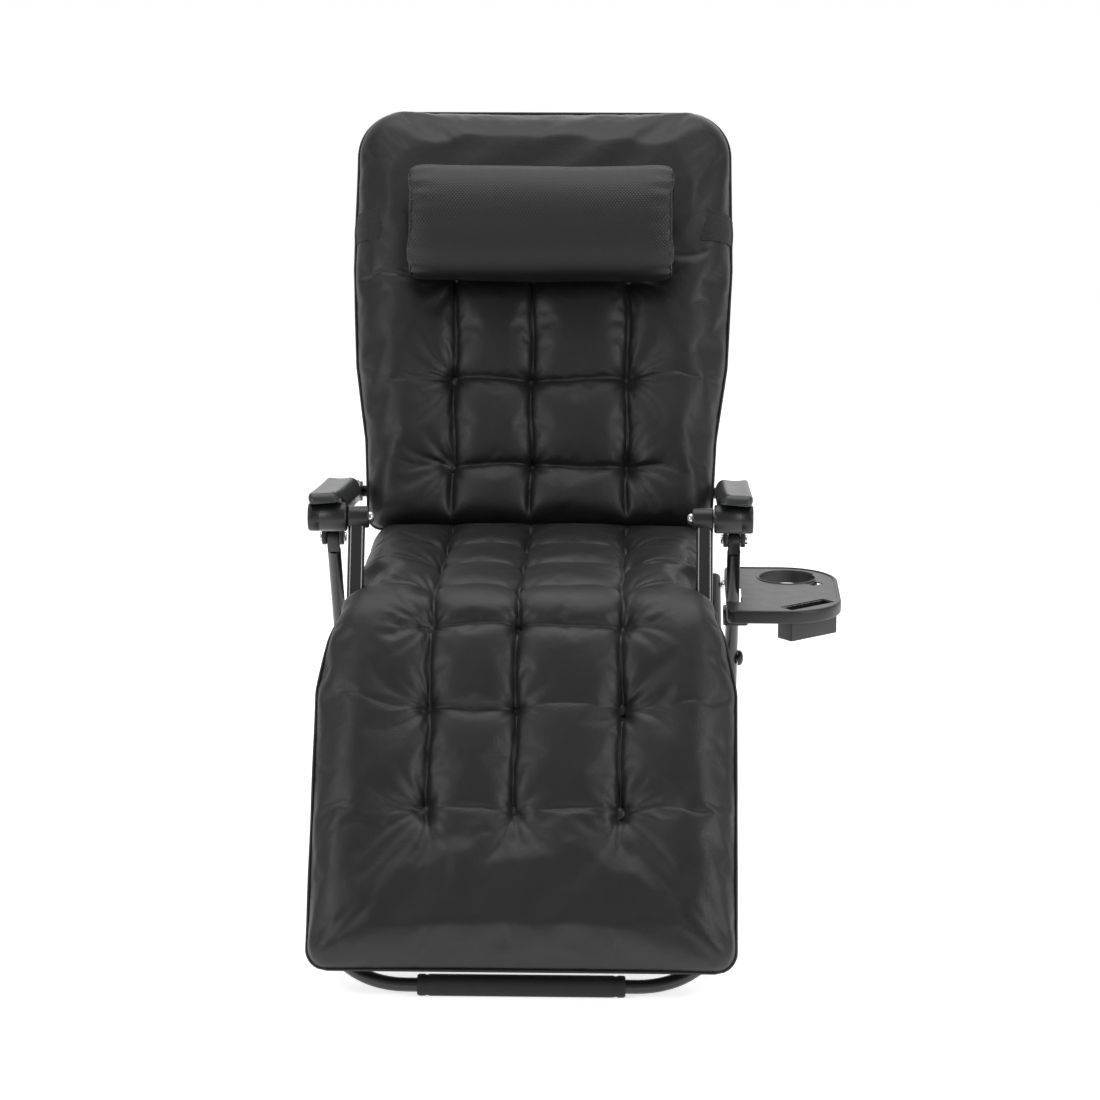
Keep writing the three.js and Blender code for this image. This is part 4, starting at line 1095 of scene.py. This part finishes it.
def make_hinges():
    for name, side in SIDES:
        def mirrored(profile):
            return [(side * x, r) for x, r in profile]

        pin = turned(f"hip_pin_{name}_plated", mirrored([(0.2132, 0.0038), (0.2140, 0.0050), (0.2872, 0.0050),
                     (0.2872, 0.0088), (0.2905, 0.0088), (0.2918, 0.0074)]), HIP, NICKEL)
        finish_piece(pin, "base", f"hip_pin_{name}")
        spacer = turned(f"hip_sleeve_{name}", mirrored([(0.2418, 0.0082), (0.2426, 0.0090), (0.2648, 0.0090),
                        (0.2656, 0.0082)]), HIP, NYLON)
        finish_piece(spacer, "base", f"hip_spacer_{name}")
        arm_pin = turned(f"arm_rear_stud_{name}", mirrored([
                         (0.2132, 0.0036), (0.2140, 0.0045), (0.2394, 0.0045),
                         (0.2394, 0.0084), (0.2402, 0.0090), (0.2830, 0.0090), (0.2836, 0.0084)]),
                         ARM_REAR, NYLON)
        finish_piece(arm_pin, "back", f"arm_rear_pin_{name}")
        for node, place, reach in ((f"hip_plate_{name}", HIP, 0.034),
                                   (f"strut_lug_{name}", STRUT_FOOT, 0.026)):
            outline = arc(LUG_EYE, 0, 181, 15)
            outline += [(-reach * 0.6, -0.033), (reach * 0.6, -0.033)]
            low, high = sorted((side * 0.2393, side * 0.2413))
            lug = plate(f"{node}_steel", outline, low, high, RAIL_PAINT, 0.0005, side_frame(place, 0))
            finish_piece(lug, "seat", node)


# ---------------------------------------------------------------- armrests
def make_arm(name, side):
    low, high = sorted((side * 0.286, side * 0.314))
    end = ARM_LENGTH - 0.004
    outline = [(0.012, -0.013), (0.020, -0.0140), (end, -0.0140), (end, 0.010),
               (end - 0.030, 0.0205), (0.012, 0.0205)]
    body = plate(f"armrest_channel_{name}", outline, low, high, NYLON, 0.003, ARM)
    trough_low, trough_high = sorted((side * 0.2915, side * 0.3085))
    run_from, run_to = 0.025, ARM_LENGTH - 0.040
    trough = plate("trough", [(run_from, -0.030), (run_to, -0.030), (run_to, 0.013), (run_from, 0.013)],
                   trough_low, trough_high, NYLON, 0.001, ARM)
    cut_out(body, trough)
    shade_by_angle(body, 40)
    finish_piece(body, f"arm_{name}", f"armrest_body_{name}")

    housing = turned(f"arm_joint_housing_{name}", [(side * x, r) for x, r in (
        (0.2680, 0.0165), (0.2682, 0.0192), (0.2694, 0.0205), (0.2715, 0.0210), (0.3070, 0.0210),
        (0.3076, 0.0204), (0.3088, 0.0204), (0.3094, 0.0210), (0.3215, 0.0210), (0.3238, 0.0203),
        (0.3250, 0.0185), (0.3252, 0.0120), (0.3246, 0.0110), (0.3246, 0.0020))], ARM_JOINT, NYLON, 56)
    finish_piece(housing, f"arm_{name}")
    boss = turned(f"arm_rear_boss_{name}", [(side * x, r) for x, r in (
        (0.2840, 0.0145), (0.2848, 0.0158), (0.3130, 0.0158), (0.3142, 0.0140), (0.3142, 0.0030))],
        ARM_REAR, NYLON)
    finish_piece(boss, f"arm_{name}")
    make_arm_pad(name, side)
    bolt = turned(f"arm_joint_bolt_{name}_plated", [(side * x, r) for x, r in (
        (0.2290, 0.0040), (0.2294, 0.0056), (0.2308, 0.0076), (0.2330, 0.0086), (0.2357, 0.0088),
        (0.2357, 0.0060), (0.2860, 0.0060))], ARM_JOINT, NICKEL)
    finish_piece(bolt, f"arm_{name}", f"arm_joint_bolt_{name}")


def make_arm_pad(name, side):
    """Flat hand rest whose inner side rolls down over the channel, with a thumb ridge in front."""
    front, rear = -0.0255, 0.304
    rows = 84
    # (across, down) of half sections, outer edge first; across is away from the middle of the chair
    outer = [(0.0245, -0.0150), (0.0262, -0.0100), (0.0262, -0.0045), (0.0248, -0.0014), (0.0220, 0.0)]
    inner = [(-0.0100, 0.0006), (-0.0150, -0.0004), (-0.0190, -0.0030), (-0.0222, -0.0075),
             (-0.0244, -0.0140), (-0.0252, -0.0200), (-0.0240, -0.0255), (-0.0215, -0.0275)]
    dished = [(0.0220 - 0.0320 * i / 9, -0.0012 * math.sin(math.pi * i / 9)) for i in range(1, 9)]
    profile = outer + dished + inner
    vertices = []
    for i in range(rows + 1):
        t = i / rows
        y = front + (rear - front) * t
        end = min(y - front, rear - y)
        round_end = float(edge_round(np.array(end), 0.016))
        shut = 0.72 + 0.28 * round_end
        top = 0.0362 - 0.0012 * math.sin(math.pi * t) - 0.010 * (1 - round_end)
        ridge = 0.0022 * math.exp(-((y - front - 0.010) / 0.006) ** 2)
        flare = 0.30 + 0.70 * (1 / (1 + math.exp(-(y - 0.030) / 0.014)))
        for across, down in profile:
            inward = across < -0.012
            x = side * 0.298 + side * across * shut * (1.0 if not inward else 0.80 + 0.20 * flare)
            drop = down * (flare if inward and down < -0.0100 else 1.0)
            bulge = ridge * math.exp(-(across / 0.017) ** 4)
            vertices.append((x, y, top + drop * (0.4 + 0.6 * round_end) + bulge))
    faces = tube_faces(rows + 1, len(profile))
    pad = face_outwards(new_piece(f"armrest_top_{name}", vertices, faces, ABS))
    pad.data.transform(ARM)
    shade_by_angle(pad, 60)
    finish_piece(pad, f"arm_{name}", f"armrest_pad_{name}")


def make_strut(name, side):
    lean = math.atan2(ARM_JOINT[0] - STRUT_FOOT[0], ARM_JOINT[1] - STRUT_FOOT[1])
    length = math.dist(ARM_JOINT, STRUT_FOOT)
    local = side_frame(STRUT_FOOT, -lean)
    section = []
    for flat, start in ((0.0055, -90), (-0.0055, 90)):
        for i in range(20):
            angle = math.radians(start + 180 * i / 19)
            section.append((flat + 0.0070 * math.cos(angle), 0.0070 * math.sin(angle)))
    vertices = []
    heights = [-0.0120, -0.0105, -0.006, length - 0.008]
    shrink = [0.70, 0.93, 1.0, 1.0]
    for h, k in zip(heights, shrink):
        vertices += [local @ Vector((side * STRUT_X + x * k, y * k, h)) for x, y in section]
    faces = tube_faces(len(heights), len(section))
    tube = face_outwards(new_piece(f"arm_strut_tube_{name}", vertices, faces, STRUT_PAINT))
    shade_by_angle(tube, 50)
    finish_piece(tube, f"arm_strut_{name}", f"strut_{name}")
    collar = turned(f"strut_collar_{name}", [(side * x, r) for x, r in (
        (0.2360, 0.0120), (0.2362, 0.0146), (0.2374, 0.0157), (0.2395, 0.0160), (0.2640, 0.0160),
        (0.2662, 0.0155), (0.2672, 0.0142), (0.2674, 0.0110))], ARM_JOINT, NYLON, 48)
    finish_piece(collar, f"arm_strut_{name}")
    bolt = turned(f"strut_foot_bolt_{name}_plated", [(side * x, r) for x, r in (
        (0.2386, 0.0040), (0.2669, 0.0040), (0.2669, 0.0078), (0.2690, 0.0074), (0.2706, 0.0050),
        (0.2709, 0.0010))], STRUT_FOOT, NICKEL)
    finish_piece(bolt, "seat", f"strut_foot_bolt_{name}")


def make_slider(name, side):
    """Clevis on the leg end: two ears, a web, and a tongue that runs in the armrest channel."""
    x = side * REAR_LEG_X
    local = side_frame(LEG_TOP, -ARM_SLOPE)
    pieces = []
    half = 0.0118
    ear_outline = arc(half, 180, 361, 12)
    ear_outline += [(half, 0.0173), (-half, 0.0173)]
    for low, high in ((-0.0163, -0.0094), (0.0094, 0.0163)):
        pieces.append(plate(f"slider_ear_{name}", ear_outline, x + low, x + high, NYLON, 0.0012, local))
    web = [(-half, 0.0130), (half, 0.0130), (half, 0.0175), (-half, 0.0175)]
    pieces.append(plate(f"slider_web_{name}", web, x - 0.0100, x + 0.0100, NYLON, 0.0006, local))
    tongue = [(-half, 0.0160), (half, 0.0160), (half, 0.0358), (-half, 0.0358)]
    pieces.append(plate(f"slider_tongue_{name}", tongue, x - 0.0065, x + 0.0065, NYLON, 0.0012, local))
    for number, piece in enumerate(pieces):
        finish_piece(piece, f"slider_{name}", *([f"slide_block_{name}"] if number == 0 else []))


def make_lever(name, side):
    x = side * REAR_LEG_X
    outline = arc(0.009, -20, 201, 20)
    outline += [(-0.030, -0.024), (-0.058, -0.034), (-0.064, -0.038), (-0.0635, -0.043),
                (-0.058, -0.046), (-0.024, -0.038), (0.000, -0.018)]
    local = ARM @ Matrix.Translation((0, 0.230, 0.002))
    lever = plate(f"squeeze_lever_{name}", outline, x - 0.004, x + 0.004, NYLON, 0.0012, local)
    finish_piece(lever, f"lever_{name}", f"lock_lever_{name}")
    pivot = ARM @ Vector((0, 0.230, 0.002))
    profile = [(x - 0.0150, 0.0028), (x - 0.0146, 0.0035), (x + 0.0146, 0.0035), (x + 0.0150, 0.0028)]
    stud = turned(f"lever_stud_{name}", profile, (pivot.y, pivot.z), NICKEL)
    finish_piece(stud, f"lever_{name}")


# ---------------------------------------------------------------- side tray
TRAY_TOP = 0.442


def rounded_outline(x0, x1, y0, y1, r_outer, r_inner):
    """Rectangle with large corners on its outer side and small ones on its inner side."""
    points = []
    for cx, cy, r, start in ((x0 + r_inner, y0 + r_inner, r_inner, 180),
                             (x1 - r_outer, y0 + r_outer, r_outer, 270),
                             (x1 - r_outer, y1 - r_outer, r_outer, 0),
                             (x0 + r_inner, y1 - r_inner, r_inner, 90)):
        steps = 24 if r > 0.03 else 6
        points += [(cx + r * math.cos(math.radians(start + 90 * i / steps)),
                    cy + r * math.sin(math.radians(start + 90 * i / steps))) for i in range(steps + 1)]
    return points


def upright(name, outline, low, high, finish, radius=0.0):
    count = len(outline)
    vertices = [(x, y, z) for z in (low, high) for x, y in outline]
    faces = [tuple(range(count))[::-1], tuple(range(count, 2 * count))]
    faces += [(i, (i + 1) % count, count + (i + 1) % count, count + i) for i in range(count)]
    piece = face_outwards(new_piece(name, vertices, faces, finish))
    return softened(piece, radius) if radius else piece


def disc(x, y, r, count=64):
    return [(x + a, y + b) for a, b in ring(r, count)]


def turned_box(x, y, long, wide, turn):
    c, sn = math.cos(turn), math.sin(turn)
    corners = [(-long / 2, -wide / 2), (long / 2, -wide / 2), (long / 2, wide / 2), (-long / 2, wide / 2)]
    return [(x + a * c - b * sn, y + a * sn + b * c) for a, b in corners]


def tray_outline(inset):
    """The tray seen from above, drawn in by inset all round."""
    return rounded_outline(0.290 + inset, 0.463 - inset, 0.070 + inset, 0.364 - inset,
                           0.086 - inset, max(0.012 - inset, 0.008))


def make_tray():
    """Dished tray with a cup hole and its handle notch, a notch beside the leg tube, and a phone slot."""
    below, above = 0.40, 0.46            # heights that the cutters run between
    cup = (0.386, 0.296)
    slot_at, slot_turn = (0.411, 0.120), math.radians(40)
    slot_shape = turned_box(*slot_at, 0.086, 0.026, slot_turn)
    handle_shape = turned_box(cup[0] + 0.036, cup[1] - 0.036, 0.030, 0.022, math.radians(-45))
    body = upright("tray_moulding", tray_outline(0), TRAY_TOP - 0.020, TRAY_TOP, TRAY_PP, 0.0035)
    hollow = upright("hollow", tray_outline(0.003), TRAY_TOP - 0.030, TRAY_TOP - 0.003, TRAY_PP)
    dish = upright("dish", tray_outline(0.006), TRAY_TOP - 0.0012, TRAY_TOP + 0.01, TRAY_PP)
    tube_notch = upright("notch", [(0.280, 0.132), (0.313, 0.132), (0.313, 0.226), (0.280, 0.226)],
                         below, above, TRAY_PP)
    cup_hole = upright("cup", disc(*cup, 0.043), below, above, TRAY_PP)
    handle_notch = upright("handle", handle_shape, below, above, TRAY_PP)
    phone = upright("phone", slot_shape, 0.35, above, TRAY_PP)
    cut_out(body, hollow, dish, tube_notch, cup_hole, handle_notch, phone)
    shade_by_angle(body, 35)
    finish_piece(body, "side_tray", "tray")

    rim_line = [(x, y, TRAY_TOP - 0.0022) for x, y in disc(*cup, 0.0452, 72)]
    finish_piece(swept("cup_hole_rim", rim_line[6:69], ring(0.0024, 12), TRAY_PP), "side_tray")
    wall = upright("cup_hole_wall", disc(*cup, 0.0465), TRAY_TOP - 0.020, TRAY_TOP - 0.002, TRAY_PP)
    cut_out(wall, upright("bore", disc(*cup, 0.0432), below, above, TRAY_PP),
            upright("gate", handle_shape, below, above, TRAY_PP))
    shade_by_angle(wall, 35)
    finish_piece(wall, "side_tray")
    pocket = upright("phone_pocket", turned_box(*slot_at, 0.092, 0.032, slot_turn),
                     TRAY_TOP - 0.049, TRAY_TOP - 0.0035, TRAY_PP, 0.002)
    cut_out(pocket, upright("inside", slot_shape, TRAY_TOP - 0.046, above, TRAY_PP))
    shade_by_angle(pocket, 35)
    finish_piece(pocket, "side_tray")
    make_clamp()


def make_clamp():
    lean = math.atan2(REAR_BAR[0] - LEG_TOP[0], LEG_TOP[1] - REAR_BAR[1])
    height = TRAY_TOP - 0.040
    y = LEG_TOP[0] + (LEG_TOP[1] - height) * math.tan(lean)
    block = upright("tray_clamp_block", rounded_outline(0.286, 0.324, y - 0.020, y + 0.020, 0.006, 0.006),
                    height - 0.012, height + 0.012, NYLON, 0.0015)
    bore = swept("bore", [(REAR_LEG_X, y - 0.1 * math.sin(lean), height + 0.1 * math.cos(lean)),
                          (REAR_LEG_X, y + 0.1 * math.sin(lean), height - 0.1 * math.cos(lean))],
                 ring(LEG_TUBE_R + 0.0003), NYLON)
    cut_out(block, bore)
    shade_by_angle(block, 35)
    finish_piece(block, "side_tray", "tray_clamp")
    post = upright("tray_clamp_post", rounded_outline(0.313, 0.325, y - 0.012, y + 0.012, 0.003, 0.003),
                   height + 0.010, height + 0.026, NYLON, 0.001)
    finish_piece(post, "side_tray")
    arm = upright("tray_clamp_arm", rounded_outline(0.315, 0.385, y - 0.015, y + 0.015, 0.004, 0.004),
                  TRAY_TOP - 0.0175, TRAY_TOP - 0.0035, NYLON, 0.0015)
    finish_piece(arm, "side_tray")


# ---------------------------------------------------------------- stage
def make_floor():
    edge = [(x, y, 0) for x, y in disc(0, 0, 6.0)]
    floor = new_piece("floor", edge, [tuple(range(len(edge)))], (floor_paint(), None), smooth=False)


make_camera()
make_light()
make_floor()
strap_places = make_back_cushion()
make_seat_cushion()
make_pillow()
make_strap(strap_places)
make_legs()
seat_places = make_rails()
make_slings(*seat_places)
make_hinges()
for side_name, side_sign in SIDES:
    make_arm(side_name, side_sign)
    make_strut(side_name, side_sign)
    make_slider(side_name, side_sign)
    make_lever(side_name, side_sign)
make_tray()
